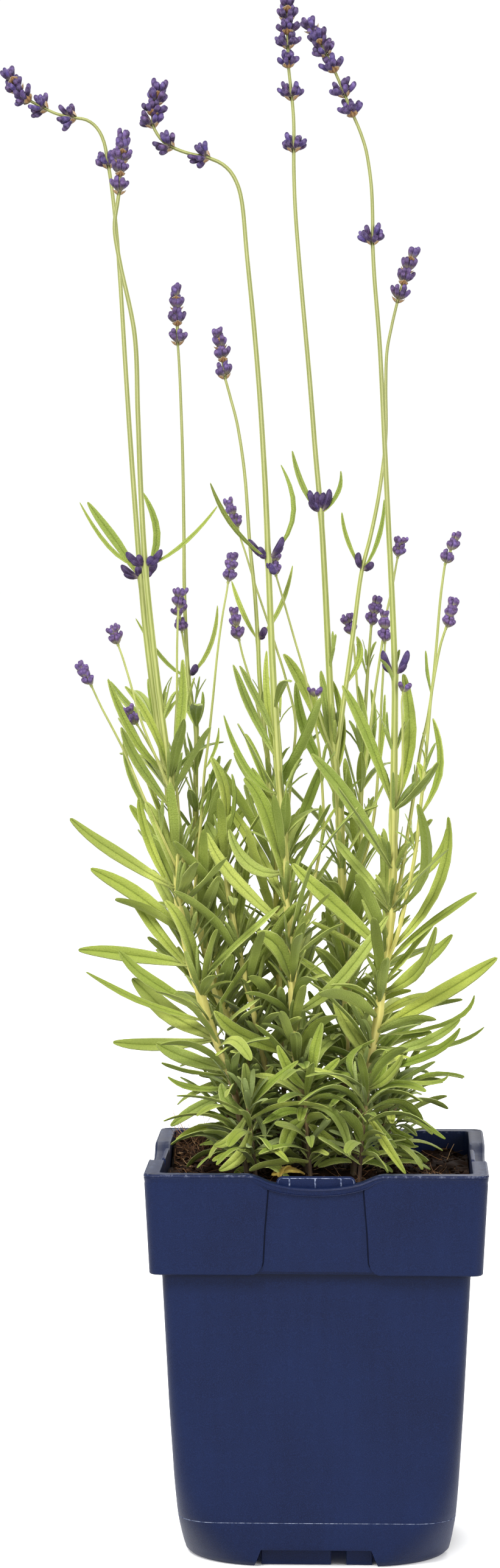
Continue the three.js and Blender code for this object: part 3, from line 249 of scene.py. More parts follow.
# Side stalks: the stem each one leaves, its thickness, its route from that stem up, and
# the kind and points of its spike.
STALKS = [
  ["middle_back", 2, [[6.3, 304, 12], [8.7, 322, 11.5], [11.3, 341, 11], [13.6, 358, 10],
    [16.3, 378, 9], [20, 393, 9], [23.3, 410, 9], [25.6, 430, 9], [25.6, 450, 9], [26, 463, 9],
    [27.8, 473, 9]],
  "full", [[30.2, 483.3, 9, 4], [32.3, 490, 9, 6], [33.6, 494.5, 9, 6], [35.3, 499, 9, 4]]],
  ["centre", 1.1, [[-12, 250, -12], [-12.5, 275, -2], [-10.8, 300, 6], [-9.2, 320, 10],
    [-13, 337, 12], [-16.7, 349, 13], [-20.3, 360, 14], [-24.7, 373, 14], [-28.7, 386, 14],
    [-30.4, 391, 14]],
  "young", [[-31.7, 396, 14, 5], [-33.2, 400, 14, 5], [-34.3, 403, 14, 2]]],
  ["centre", 1.1, [[-10.5, 222, -13], [-6, 240, -6], [-2, 258, 0], [1.5, 278, 2], [1.2, 295, 3],
    [-0.3, 312, 4], [-3, 327, 4], [-6, 340, 4], [-9.5, 352, 4], [-13.5, 366, 4],
    [-16, 374.5, 4]],
  "young", [[-16.9, 377.5, 4, 2], [-17.6, 382, 4, 2]]],
  ["left_front", 1.1, [[-52, 238, -17], [-49, 250, -13], [-47.5, 265, -11], [-46, 281, -10],
    [-44.6, 300, -10], [-43, 313, -10], [-41.2, 330, -10], [-39.5, 347, -10],
    [-37.6, 361, -10], [-36, 370, -10]],
  "young", [[-35.3, 374.8, -10, 5], [-34.6, 378.5, -10, 5], [-34.2, 381.5, -10, 3]]],
  ["centre_slim", 1.1, [[-19.9, 304, 6], [-21.8, 314, 3], [-24, 326, 1], [-27, 337, 0],
    [-29.7, 346, 0]],
  "young", [[-31.2, 352.5, 0, 4], [-32, 357, 0, 5], [-32.6, 360.5, 0, 3]]],
  ["left_front", 1.1, [[-57.5, 292, -17], [-62, 303, -20], [-66.3, 313, -21], [-70, 323, -22],
    [-73.3, 335, -22], [-76.3, 345, -22]],
  "young", [[-78.3, 350.5, -22, 2], [-79.3, 354, -22, 2]]],
  ["left_front", 1.1, [[-55, 262, -17], [-61, 275, -22], [-67, 288, -25], [-71.3, 298, -26],
    [-75.5, 308, -26], [-80, 317, -26], [-84.5, 325.5, -26]],
  "young", [[-88.7, 334.5, -26, 2], [-90.3, 337.5, -26, 4], [-91.5, 339.5, -26, 3]]],
  ["left_front", 1, [[-58.5, 299, -17], [-62.5, 305, -14], [-66, 311, -13], [-69, 316.3, -13]],
    "young", [[-71, 319.5, -13, 3], [-73, 323, -13, 3]]],
  ["left_front", 1.1, [[-55, 264, -17], [-54.5, 282, -12], [-55.8, 300, -11], [-56, 315, -11],
    [-55.3, 330, -11], [-55.2, 348, -11], [-54.9, 360, -11]],
  "young", [[-54.6, 364.5, -11, 5], [-54.2, 368, -11, 2]]],
  ["left_slim", 1.1, [[-51.3, 345, 6], [-52.5, 350.5, 3]],
    "young", [[-53.3, 355.5, 1, 4], [-54.2, 361.5, 0, 4]]],
  ["right", 1.4, [[28, 246, -12], [31.5, 258, -6], [34.5, 277, -2], [37, 293, 0],
    [39.3, 309, 1], [42, 321, 2], [44, 335, 2], [45.4, 350, 2], [46.8, 367, 2], [48, 377, 2]],
  "young", [[48.8, 382, 2, 4], [50.7, 386.5, 2, 5], [52, 390, 2, 4]]],
  ["right", 1.4, [[25.7, 225, -12], [30.5, 237, -14], [34.5, 254, -15], [37.5, 270, -15],
    [39.5, 288, -15], [41.3, 306, -14], [42.6, 321, -12], [43.5, 331, -10], [45.5, 343, -9],
    [47.2, 351, -9]],
  "young", [[49.2, 357, -9, 5], [50.5, 361, -9, 5], [51.3, 364, -9, 3]]],
  ["right_back", 1.2, [[16.3, 293, 22], [19, 310, 20], [20.8, 326, 19], [22.8, 340, 18],
    [24.6, 352, 18], [26.4, 364, 18], [28.2, 372, 18], [29.2, 378, 18]],
  "young", [[30.4, 384.5, 18, 5], [31.2, 388.5, 18, 5]]],
  ["right_back", 1.2, [[15.8, 262, 23], [20, 276, 16], [22.2, 291, 14], [23.2, 308, 14],
    [24, 325, 14], [24.8, 340, 14]],
  "young", [[25.5, 351.5, 14, 5], [25.4, 356, 14, 5], [25.4, 359.5, 14, 3]]],
  ["right_back", 1.1, [[17.3, 315, 22], [15.3, 328, 25], [14.2, 341, 27], [13.3, 350, 28]],
    "young", [[12.5, 354.5, 28, 4], [11.5, 358, 28, 4]]],
  ["middle_back", 1, [[6.2, 306, 12], [3, 314, 6], [0.4, 322, 3]],
    "young", [[-1.2, 330, 2, 2]]],
  ["right", 1, [[28.9, 286, -12], [31.8, 294, -15], [32.4, 305, -16], [32.3, 320, -16],
    [32, 328, -16]],
  "young", [[32.6, 332, -16, 3]]],
]

# The leaves that show singly, by the stem that bears them. Each row is the foot's x and z,
# a point half way along, the tip, all as they look from the eye, then how far the tip
# stands back from the foot, the width and the turn of the blade towards the eye in degrees.
LEAVES = {
  "left_front": [
    [-67.5, 380.5, -80, 386.5, -93, 405.5, -4, 1.9, 10],
    [-67.5, 380.5, -53, 389, -39.5, 404, -4, 1.9, 10],
    [-58, 298, -53.8, 322, -53, 344.5, -5, 4.2, 65], [-58, 298, -65, 319, -75.5, 334, -6, 3, 50],
    [-58, 299, -72, 314, -82, 337, 5, 3.2, 50], [-57, 286, -69.5, 303, -77, 318, -8, 4, 60],
    [-55, 258, -60, 275, -67.5, 289, -9, 5, 65], [-54, 250, -66, 273, -70, 291, 7, 3.2, 40],
    [-47, 216, -51, 236, -60, 250.5, -10, 5, 60], [-54, 255, -77, 267.5, -97, 282.5, -3, 4.6, 60],
    [-52, 238, -70, 252, -89, 263, -6, 5.4, 60], [-48, 221, -64, 240, -73, 252, 4, 4, 50],
    [-50, 225, -72, 229, -94, 231, 2, 5, 60], [-45, 207, -64, 218, -78, 230.5, -6, 4.2, 60],
    [-43, 203, -68, 210.5, -91, 222.5, -12, 3, 10], [-40, 196, -58, 206.5, -73, 220, 4, 6.4, 70],
    [-41, 200, -60, 204, -77, 212.5, 8, 3, 10], [-40, 196, -62, 194, -80.5, 195, 10, 4.4, 55],
    [-36, 184, -52, 189, -63.5, 194.5, -4, 5, 60], [-35, 182, -50, 183.5, -61.5, 187, -10, 2.6, 10],
    [-34, 178, -48, 176.8, -59, 181.5, 4, 2.6, 10], [-33, 176, -48, 169, -58, 162, 6, 3.6, 60],
    [-44.3, 302, -40.5, 309.5, -39, 318, -2, 1.8, 20],
    [-46, 282, -43, 290, -42.8, 300, -2, 2.2, 30],
  ],
  "left_back": [
    [-69.3, 376, -79.5, 391, -90, 405.5, 3, 3.6, 60],
    [-69.3, 376, -63, 391, -68.5, 409.5, 3, 2.8, 35], [-53, 270, -70, 292, -76, 313, 4, 2.6, 30],
    [-60, 305, -63.5, 322, -66.5, 337, 5, 2.6, 50],
  ],
  "centre": [
    [-19.8, 383.5, -33, 395.5, -42.3, 413, -4, 2.1, 15],
    [-19.8, 383.5, -10.2, 400, -15, 420, -4, 2.1, 15],
    [-16, 305, -26, 324, -33.5, 342.5, -5, 3, 60], [-16.5, 312, -23.5, 328, -31, 342, 4, 3, 50],
    [-16, 300, -19.8, 325, -20.5, 348, 8, 2.4, 50],
    [-12.5, 252, -18.5, 280, -29, 298.5, -8, 5.6, 65], [-14, 275, -20, 290, -26, 302.5, 6, 3, 50],
    [-11, 240, -32, 258, -44, 277, -9, 4.6, 60], [-10, 205, -26, 217, -46, 226, 15, 5, 60],
    [-10, 206, 8, 219.5, 27, 245, -9, 4.6, 60], [-10, 218, -15.5, 231.5, -24, 238, -13, 6, 75],
    [-9, 190, -29, 197.5, -41, 207, -8, 5, 60], [-13, 262, -26.5, 264, -35, 278.5, 4, 4.4, 55],
    [-15.3, 292, -27.5, 301, -37, 323, 3, 2.4, 40], [-15, 286, -25, 296, -33, 308.5, 6, 2.8, 50],
    [1.5, 278, 0.6, 283, 0.6, 288, -2, 1.6, 20], [1.5, 278, 4, 283, 6.8, 287, -2, 1.6, 20],
  ],
  "middle_back": [
    [0.6, 401, -6.3, 411.5, -10.5, 425.3, -3, 2.5, 30],
    [0.6, 401, 6.8, 408.5, 8.3, 417.5, -3, 2.1, 30], [16.4, 379, 11, 390.5, 8.7, 401.5, -3, 2, 20],
    [16.4, 379, 23, 391.5, 25, 406.5, -1, 2.1, 20], [6.3, 304, -4.5, 331, -14, 346.5, -4, 4, 60],
    [6.3, 304, 3.2, 321, 0.8, 336.5, -6, 2.6, 60], [7.5, 295, -4.5, 314, -9, 336, -8, 3.4, 60],
    [7, 300, 9, 318, 5, 336.5, 6, 2.6, 50], [10.5, 335, 15.5, 345, 14.5, 353.5, 4, 2.4, 50],
  ],
  "right": [
    [29.3, 338.5, 16.8, 355, 13.5, 380.5, -3, 2.6, 25],
    [29.3, 338.5, 39.6, 356, 38.5, 381.5, -3, 2.4, 25], [29, 286, 35, 314, 32.5, 339, -4, 4.6, 70],
    [29, 287, 19.2, 314, 9, 334.5, -5, 4, 60], [28.8, 262, 13, 288, -3, 308, -8, 5, 60],
    [28.5, 252, 45, 266, 49.5, 279, 5, 3, 50], [28, 246, 41, 262, 38, 288.5, -4, 5.4, 65],
    [26.5, 230, 46, 256, 50, 283.5, -6, 4, 55], [26.5, 231, 6, 249, -10.5, 265, -8, 5.4, 65],
    [24, 213, 40, 226, 52, 237.5, -3, 4, 50], [24, 215, 38, 223, 45.5, 240.5, -10, 4.4, 65],
    [23.5, 208, 35.5, 222, 35.5, 237.5, -14, 3.8, 65],
    [22.5, 200, 46, 213.5, 69.5, 228.5, -4, 5.6, 60], [20.5, 190, 41, 195.5, 55, 204.5, 2, 3.4, 40],
    [19, 184, 43, 190.5, 55, 201, -8, 3.4, 40], [21, 194, 47, 193.5, 64.5, 201.5, 6, 2, 5],
    [22, 198, 50, 203, 60.5, 214, 10, 2, 5], [18.5, 182, 42, 179.3, 50.5, 183, -6, 2, 5],
    [19.5, 187, 13, 199, 5.5, 211, -7, 5, 65], [39.3, 284, 46.8, 302, 44, 321.8, -3, 3.2, 45],
    [40, 292, 40.5, 299, 37.8, 304.5, 2, 2.4, 40], [43.4, 331, 42, 339, 41.2, 348, -1, 1.6, 20],
  ],
  "left_slim": [
    [-51, 338, -60, 344, -71.3, 360.5, -3, 1.8, 10],
    [-51, 338, -42.5, 349, -39.5, 365.5, -3, 2.2, 15],
    [-47.8, 318, -45.5, 325, -45.3, 332, -2, 1.6, 10],
  ],
  "centre_slim": [
    [-23.8, 352, -29.5, 362.5, -34, 375, -3, 1.9, 15],
    [-23.8, 352, -15.5, 364, -10.3, 381, 2, 1.9, 15],
  ],
  "right_back": [
    [16.3, 293, 18, 314, 15, 334.5, -4, 3, 50], [16.5, 297, 21, 316, 20, 333, 5, 2, 40],
    [22.4, 296, 24.5, 314, 25.5, 331, -2, 2, 40],
  ],
  "inner_shoot": [
    [-37.6, 277, -36.3, 292, -42, 306.5, -3, 5, 65], [-37.4, 272, -33, 287, -34, 300, 3, 2.2, 30],
    [-37, 265, -40.5, 274, -44, 281.5, -5, 4, 60],
  ],
  "tuft_front": [
    [-4.5, 176, -2, 190, 1, 203, -2, 4, 65], [-4.5, 176, -11.5, 184, -16, 194, -2, 3.6, 60],
    [-3.5, 180, 3, 184, 8, 189, -1, 3, 40], [-5, 167, -13, 168, -22, 163, -3, 3, 40],
    [-5, 166, -11, 160, -14.5, 151.5, -6, 5, 70], [-4.5, 163, 2, 158.5, 9, 151, -4, 3.4, 40],
    [-5, 170, 7, 166, 12, 150.5, -5, 3.4, 60],
  ],
  "tuft_front_left": [
    [-26.5, 162, -30, 151.5, -39, 144.5, -5, 4.2, 60],
    [-28, 168, -34, 157.5, -41, 154.5, -2, 3, 50], [-28, 169, -28, 178, -29, 187, -1, 4.5, 60],
    [-28, 167, -35, 171, -38, 179, 3, 4, 60], [-28, 169, -20, 178, -8, 188, -2, 3, 30],
  ],
  "tuft_front_right": [
    [19.3, 176, 24, 183, 26, 192, -2, 3.4, 60], [19.5, 177, 27, 182, 32.5, 190, -3, 4, 55],
    [18, 168, 15.5, 159, 24, 151, -4, 3.4, 50], [18.3, 168, 25, 157, 34, 143.5, -4, 3, 50],
    [18.5, 170, 26, 159, 30.5, 154, 2, 2.6, 40], [19.3, 176, 12, 186, 17, 194, 2, 3.4, 50],
  ],
  "tuft_right": [
    [27, 174, 39.5, 164.5, 49.5, 157.5, -3, 2.2, 20], [26, 168, 31, 167, 37, 169, 0, 1.8, 20],
    [26, 166, 30.5, 160, 37, 158, -4, 2.4, 30], [25.5, 163, 30, 156.5, 39, 154.5, 3, 2.2, 20],
  ],
  "tuft_left": [
    [-35, 163, -46, 161, -56, 156.5, -3, 3.2, 40], [-34.5, 160, -42, 161, -50, 161, 4, 2.4, 30],
  ],
}

# The dark buds in the axils, by stem: the foot's x and z and the tip's, as they look.
BUDS = {
  "left_front": [[-67.5, 380.5, -75, 386], [-67.5, 380.5, -61, 387],
    [-67.5, 380.5, -70.5, 385], [-67.5, 380.5, -64.8, 384.5]],
  "left_back": [[-69.3, 376, -77, 381], [-69.3, 376, -63, 382], [-69.3, 376, -70.2, 381]],
  "centre": [[-19.8, 383.5, -27.5, 391], [-19.8, 383.5, -14, 392],
    [-19.8, 383.5, -23.5, 388], [-19.8, 383.5, -17, 377.5]],
  "middle_back": [[0.6, 401, -4, 410], [0.6, 401, 4, 410.5], [16.4, 379, 15, 386],
    [16.4, 379, 21, 382], [0.6, 401, -1, 409.5], [0.6, 401, 1.8, 409.2]],
  "right": [[29.3, 338.5, 24.5, 348], [29.3, 338.5, 34.5, 348]],
  "left_slim": [[-51, 338, -47.5, 342.5]],
  "centre_slim": [[-23.8, 352, -20.8, 357]],
}

# How a spike of each kind is built: its axis's sides and radius, and the length, half width
# and spread in degrees of the calyxes.
SPIKE_KINDS = {
    "open": {"sides": 5, "length": 5.6, "half": 1.05, "spread": 52, "axis": 1.15},
    "full": {"sides": 5, "length": 5.0, "half": 0.95, "spread": 38, "axis": 1.0},
    "young": {"sides": 4, "length": 4.0, "half": 0.8, "spread": 32, "axis": 0.8},
}
WHORL_BAND = 1.5
TOP_SPREAD = 22
# How much a calyx turns up towards the light.
LIFT = 0.12

# ---- directions and places

UP = (0.0, 0.0, 1.0)


def plus(a, b, k=1.0):
    return (a[0] + b[0] * k, a[1] + b[1] * k, a[2] + b[2] * k)


def minus(a, b):
    return (a[0] - b[0], a[1] - b[1], a[2] - b[2])


def dot(a, b):
    return a[0] * b[0] + a[1] * b[1] + a[2] * b[2]


def cross(a, b):
    return (a[1] * b[2] - a[2] * b[1], a[2] * b[0] - a[0] * b[2], a[0] * b[1] - a[1] * b[0])


def size(a):
    return sqrt(dot(a, a))


def unit(a, length=1.0):
    k = length / (size(a) or 1.0)
    return (a[0] * k, a[1] * k, a[2] * k)


def between(a, b, t):
    return plus(a, minus(b, a), t)


def square_to(a, axis):
    return unit(plus(a, axis, -dot(a, axis)))


def leaning(a, b, angle):
    """A direction that leans from one towards another, square to it, by an angle."""
    return plus(tuple(c * cos(angle) for c in a), b, sin(angle))


def circle(count):
    """The angles of places spread evenly round a circle."""
    return [2 * pi * k / count for k in range(count)]


def ramp(x, places, values):
    """A value read off a bent line, which runs level past its ends."""
    return float(np.interp(x, places, values))


def by_height(table, z):
    """The values between a table's rows. Each row starts with its height."""
    heights, *columns = zip(*table)
    return [ramp(z, heights, column) for column in columns]


def seen(x, z, y):
    """The point at a depth of y that looks as if it were at (x, 0, z)."""
    reach = (y - EYE[1]) / -EYE[1]
    return (EYE[0] + (x - EYE[0]) * reach, float(y), EYE[2] + (z - EYE[2]) * reach)


def lottery(seed):
    """Repeatable draws between -1 and 1."""
    state = [seed]

    def draw():
        state[0] = (state[0] * 16807) % 2147483647
        return 2 * state[0] / 2147483647 - 1

    return draw


def peat_top(x, y):
    return (SOIL_TOP + 1.1 * np.sin(0.21 * x + 1) * np.cos(0.17 * y)
            + 0.7 * np.sin(0.09 * x - 0.13 * y)
            + 7 * np.exp(-((x + 52) ** 2 + (y - 46) ** 2) / 240)
            + 2 * np.exp(-(x * x + y * y) / 900))


def touches_pot_or_peat(p):
    out = max(abs(p[0]), abs(p[1]))
    if out > RIM_WIDTH / 2 + 2:
        return p[2] < COLLAR_FOOT
    if out > RIM_WIDTH / 2 - 8:
        return p[2] < POT_HEIGHT + 1.2
    return p[2] < 160 and p[2] < peat_top(p[0], p[1]) + 2.4


# Room that is taken, as a grid of cells that are numbered along each way from a corner far
# outside the plant. A cell that two owners reach is shared.
CELL = 1.6
CORNER_CELLS = 200.137
CELLS_A_SIDE = 1024
taken = {}


def cell_of(p):
    i, j, k = (floor(c / CELL + CORNER_CELLS) for c in p)
    return (i * CELLS_A_SIDE + j) * CELLS_A_SIDE + k


def take(p, radius, owner):
    n = floor((radius + CELL) / CELL + 0.5)
    middle = cell_of(p)
    word = owner.split(" ")[0]
    for di in range(-n, n + 1):
        for dj in range(-n, n + 1):
            row = middle + (di * CELLS_A_SIDE + dj) * CELLS_A_SIDE
            for key in range(row - n, row + n + 1):
                before = taken.get(key)
                if before is None:
                    taken[key] = owner
                elif before.split(" ")[0] != word:
                    taken[key] = "shared"


# ---- where the leaves lie


class Leaf:
    """One leaf: its midrib curve, its width and the direction across the blade."""

    def __init__(self, foot, middle, tip, width, turn):
        self.foot, self.tip, self.width = foot, tip, width
        self.bend = plus(plus((middle[0] * 2, middle[1] * 2, middle[2] * 2), foot, -0.5), tip, -0.5)
        along = unit(minus(tip, foot))
        flat = unit(cross(UP, along))
        angle = radians(turn if flat[1] > 0 else -turn)
        self.across = leaning(flat, cross(along, flat), angle)
        self.length = size(minus(tip, foot))
        self.sighted = False

    def point(self, t):
        a, b, c = (1 - t) ** 2, 2 * (1 - t) * t, t * t
        return tuple(a * f + b * m + c * e for f, m, e in zip(self.foot, self.bend, self.tip))

    def frame(self, t):
        tangent = unit(minus(self.point(min(t + 0.01, 1)), self.point(max(t - 0.01, 0))))
        across = square_to(self.across, tangent)
        return self.point(t), across, cross(tangent, across)

    def points(self):
        """Points all over the blade, with the share of its length where each one lies."""
        steps = ceil(self.length / 1.4)
        found = []
        for i in range(1, steps + 1):
            at, across, _ = self.frame(i / steps)
            for side in (-0.4, 0, 0.4):
                found.append((plus(at, across, side * self.width), i / steps))
        return found


# Near its foot a leaf may touch the other leaves of its own stem.
CROWDED_FOOT = 0.25


def has_room(leaf, owner):
    for point, t in leaf.points():
        if touches_pot_or_peat(point):
            return False
        holder = taken.get(cell_of(point))
        if holder is None or holder == owner:
            continue
        if holder == owner + " leaf" and t < CROWDED_FOOT:
            continue
        return False
    return True


def settle(tries, owner):
    """The first of the tried leaves that has room, if one has."""
    for leaf in tries:
        if has_room(leaf, owner):
            for point, _ in leaf.points():
                take(point, 0, owner + " leaf")
            return [leaf]
    return []


def foot_on(routes, x, z):
    """Where an owner's stem or side stalks pass a height, nearest to a given x."""
    best = None
    for route in routes:
        for (x0, z0, y0), (x1, z1, y1) in zip(route, route[1:]):
            if z < z0 or z > z1:
                continue
            share = (z - z0) / (z1 - z0)
            here = (x0 + share * (x1 - x0), z, y0 + share * (y1 - y0))
            if best is None or abs(here[0] - x) < abs(best[0] - x):
                best = here
    return best


# A leaf read off singly. Where it would meet another it leans nearer the eye or further.
LEANS = (0, -5, 5, -10, 10, -16, 16, -22, 22)


def single_leaf(routes, row, owner):
    x, z, mid_x, mid_z, tip_x, tip_z, back, width, turn = row
    foot_x, foot_z, depth = foot_on(routes, x, z)
    settled = settle((Leaf(
        seen(foot_x, foot_z, depth),
        seen(mid_x, mid_z, depth + (back + lean) * 0.45),
        seen(tip_x, tip_z, depth + back + lean),
        width,
        turn,
    ) for lean in LEANS), owner)
    for leaf in settled:
        leaf.sighted = True
    return settled


def ruled_leaf(foot, bearing, rise, droop, length, width, turn):
    """A leaf by a rule: compass bearing and angle from upright in degrees."""
    b, r, d = (radians(angle) for angle in (bearing, rise, rise + droop))
    out = (cos(b), sin(b), 0.0)

    def step(angle):
        return plus(tuple(c * sin(angle) for c in out), UP, cos(angle))

    middle = plus(foot, step(r), length / 2)
    return Leaf(foot, middle, plus(middle, step(d), length / 2), width, turn)


SWINGS = (0, 22, -22, 44, -44, 66, -66, 88, -88)


def leaf_pair(route, z, draw, owner):
    foot = seen(*foot_on([route], 0, z))
    length = 33 + 7 * draw()
    width = 4.2 + 0.8 * draw()
    pair = []
    for bearing in (270 + 42 * draw(), 90 + 42 * draw()):
        rise = 52 + 12 * draw()
        droop = 10 + 26 * draw()
        turn = 20 * draw()
        pair += settle((ruled_leaf(
            foot, bearing + swing, rise, droop, length - abs(swing) / 8, width, turn,
        ) for swing in SWINGS), owner)
    return pair


def spray(route, count, draw, owner):
    """Short leaves round a low shoot, drooping at its foot and rising at its top."""
    low = route[1][1] - 4
    high = route[-1][1] - 1
    leaves = []
    for i in range(count):
        share = i / (count - 1)
        foot = seen(*foot_on([route], 0, low + share * (high - low)))
        bearing = 137.5 * i + 30 * draw()
        rise = 78 - 48 * share + 8 * draw()
        length = 23 + 4 * draw()
        leaves += settle((ruled_leaf(
            foot, bearing + swing, rise, 34 - 20 * share, length, 3.4, 10,
        ) for swing in SWINGS), owner)
    return leaves


# ---- stems and spikes


def frames_along(points):
    """Frames along a line of points, turned as little as possible from one to the next."""
    normal = (1.0, 0.0, 0.0)
    frames = []
    for i, at in enumerate(points):
        ahead = points[min(i + 1, len(points) - 1)]
        behind = points[max(i - 1, 0)]
        tangent = unit(minus(ahead, behind))
        normal = square_to(normal, tangent)
        frames.append((at, tangent, normal, cross(tangent, normal)))
    return frames


def ring_at(line, radius, sides, turned=0.0):
    at, _, normal, binormal = line
    return [plus(plus(at, normal, radius * cos(a)), binormal, radius * sin(a))
            for a in (angle + turned for angle in circle(sides))]


class Axis:
    """A stem or side stalk, with its frames split into the green part and the spike."""

    def __init__(self, thick, route, spike=None):
        self.thick, self.route, self.spike = thick, route, spike
        tops = spike["points"] if spike else []
        frames = frames_along([seen(p[0], p[1], p[2]) for p in list(route) + list(tops)])
        self.stem = frames[:len(route)]
        self.top = frames[len(route):]
        if spike:
            at, tangent, normal, binormal = self.top[0]
            self.stem.append((plus(at, tangent, -SEAT_GAP), tangent, normal, binormal))

    def radii(self):
        foot, top = self.thick
        last = len(self.stem) - 1
        return [(foot + (top - foot) * (i / last)) / 2 for i in range(last + 1)]

    def take(self, owner):
        radii = self.radii()
        frames = self.stem + self.top
        for i, (before, after) in enumerate(zip(frames, frames[1:])):
            steps = ceil(size(minus(after[0], before[0])) / 1.4)
            for s in range(steps + 1):
                take(between(before[0], after[0], s / steps), radii[min(i, len(radii) - 1)], owner)

    def take_spike(self, owner):
        kind = SPIKE_KINDS[self.spike["kind"]]
        for i, line in enumerate(self.top):
            if not self.spike["points"][i][3]:
                continue
            turned = (pi * (i % 2)) / kind["sides"]
            radius = kind["axis"] * (1 - (0.35 * i) / len(self.top))
            lower = ring_at(line, radius, kind["sides"], turned)
            upper = [plus(corner, line[1], WHORL_BAND) for corner in lower]
            angle = radians(TOP_SPREAD if i == len(self.top) - 1 else kind["spread"])
            for k, corner in enumerate(lower):
                middle = between(corner, upper[(k + 1) % len(upper)], 0.5)
                out = square_to(minus(middle, line[0]), line[1])
                way = unit(plus(leaning(line[1], out, angle), UP, LIFT), kind["length"])
                for s in range(5):
                    take(plus(middle, way, s / 4), 0.8, owner)


def axes_of(owner):
    stem = STEMS[owner]
    axes = [Axis(stem["thick"], stem["route"], stem.get("spike"))]
    for parent, thick, route, kind, points in STALKS:
        if parent == owner:
            axes.append(Axis((thick * 1.15, thick * 0.85), route, {"kind": kind, "points": points}))
    return axes


plant = {owner: {"axes": axes_of(owner), "leaves": [], "middling": [], "young": []}
         for owner in STEMS}
for owner, stem in plant.items():
    for axis in stem["axes"]:
        axis.take(owner)
for owner, stem in plant.items():
    for axis in stem["axes"]:
        if axis.spike:
            axis.take_spike("spike_of_" + owner)
for owner, stem in plant.items():
    routes = [axis.route for axis in stem["axes"]]
    for row in LEAVES.get(owner, ()):
        stem["leaves"] += single_leaf(routes, row, owner)
draw = lottery(4711)
for owner, stem in plant.items():
    route = STEMS[owner]["route"]
    for z in STEMS[owner].get("pairs", ()):
        stem["leaves"] += leaf_pair(route, z, draw, owner)
    if STEMS[owner].get("spray"):
        stem["leaves"] += spray(route, STEMS[owner]["spray"], draw, owner)


# ---- the leaves between

# The smaller leaves sit closer than the large ones: their room is kept in finer cells.
FINE = 1.15
FINE_CORNER_CELLS = 400.137
full = set()


def fine_cells(points):
    i = np.floor(points / FINE + FINE_CORNER_CELLS).astype(np.int64)
    return (i[:, 0] * CELLS_A_SIDE + i[:, 1]) * CELLS_A_SIDE + i[:, 2]


def leaf_cloud(leaf, spacing=0.9):
    """Points all over a leaf's blade, with the share of its length where each one lies."""
    t = np.linspace(0.02, 1, max(6, ceil(leaf.length / spacing)))[:, None]
    foot, bend, tip, across = (np.array(v) for v in (leaf.foot, leaf.bend, leaf.tip, leaf.across))
    at = (1 - t) ** 2 * foot + 2 * t * (1 - t) * bend + t * t * tip
    way = (1 - t) * (bend - foot) + t * (tip - bend)
    way /= np.linalg.norm(way, axis=1)[:, None]
    side = across - (way @ across)[:, None] * way
    side /= np.linalg.norm(side, axis=1)[:, None]
    half = leaf.width / 2 * np.minimum(1, 0.4 + 2.2 * t) * np.minimum(1, 3.6 * (1.05 - t))
    cloud = [at + side * half * u for u in (-0.95, -0.5, 0, 0.5, 0.95)]
    return np.concatenate(cloud), np.tile(t[:, 0], 5)


def fill_room(leaf):
    full.update(fine_cells(leaf_cloud(leaf)[0]).tolist())


def squeeze_in(tries, crowded):
    """The first of the tried leaves that clears the pot, the peat and, past a share of its
    length from the foot, all that grows there."""
    for leaf in tries:
        cloud, t = leaf_cloud(leaf)
        x, y, z = cloud.T
        out = np.maximum(np.abs(x), np.abs(y))
        over_rim = np.where(out > RIM_WIDTH / 2 - 8, POT_HEIGHT + 0.9, peat_top(x, y) + 1.6)
        low = np.where(out > RIM_WIDTH / 2 + 1.5, COLLAR_FOOT, over_rim)
        if (z < low)[t > 0.12].any() or (np.abs(y) > RIM_WIDTH / 2).any():
            continue
        if any(key in full for key in fine_cells(cloud[t > crowded]).tolist()):
            continue
        fill_room(leaf)
        return [leaf]
    return []


def fill_axis(axis):
    """Keeps the room of a stem and of the whorls along its spike."""
    radii = axis.radii() + [0.8] * len(axis.top)
    line = axis.stem + axis.top
    for before, after, radius in zip(line, line[1:], radii):
        steps = ceil(size(minus(after[0], before[0])) / 0.8)
        for s in range(steps + 1):
            centre = np.array(between(before[0], after[0], s / steps))
            around = [centre + radius * 0.8 * np.array((cos(a), sin(a), 0))
                      for a in (0, 1.05, 2.1, 3.14, 4.2, 5.25)]
            full.update(fine_cells(np.array([centre] + around)).tolist())
    for at, *_ in axis.top:
        whorl = [np.array(at) + np.array((r * cos(a), r * sin(a), h))
                 for r in (1.5, 3, 4.5) for h in (0, 1.5, 3) for a in np.arange(0, 6.28, 0.5)]
        full.update(fine_cells(np.array(whorl)).tolist())


for owner, stem in plant.items():
    for leaf in stem["leaves"]:
        fill_room(leaf)
    for axis in stem["axes"]:
        fill_axis(axis)


def young_shoot(route, z, x, bearing, draw, count, reach, width, lean):
    """A side shoot in an axil: a bunch of young leaves along a twig that rises steeply."""
    foot = seen(*foot_on([route], x, z))
    twig = ruled_leaf(foot, bearing, 0.8 * lean, 0, 8, 1, 0)
    leaves = []
    count = round(count)
    for i in range(count):
        outward = 1 - i / max(1, count - 1)
        start = twig.point(0.95 * (1 - outward))
        turned = bearing + 180 * (i % 2) * (1 - outward) + 70 * draw()
        length = reach * (0.62 + 0.34 * outward + 0.24 * draw())
        rise = lean * (0.4 + 0.8 * outward) + 8 * draw()
        droop = 2 + 18 * outward + 16 * draw()
        broad = width * (0.8 + 0.2 * outward + 0.14 * draw())
        turn = 45 * draw()
        leaves += squeeze_in([ruled_leaf(
            start, turned + swing, rise, droop, length * (1 - abs(swing) / 400), broad, turn,
        ) for swing in SWINGS[:7]], 0.35)
    return leaves


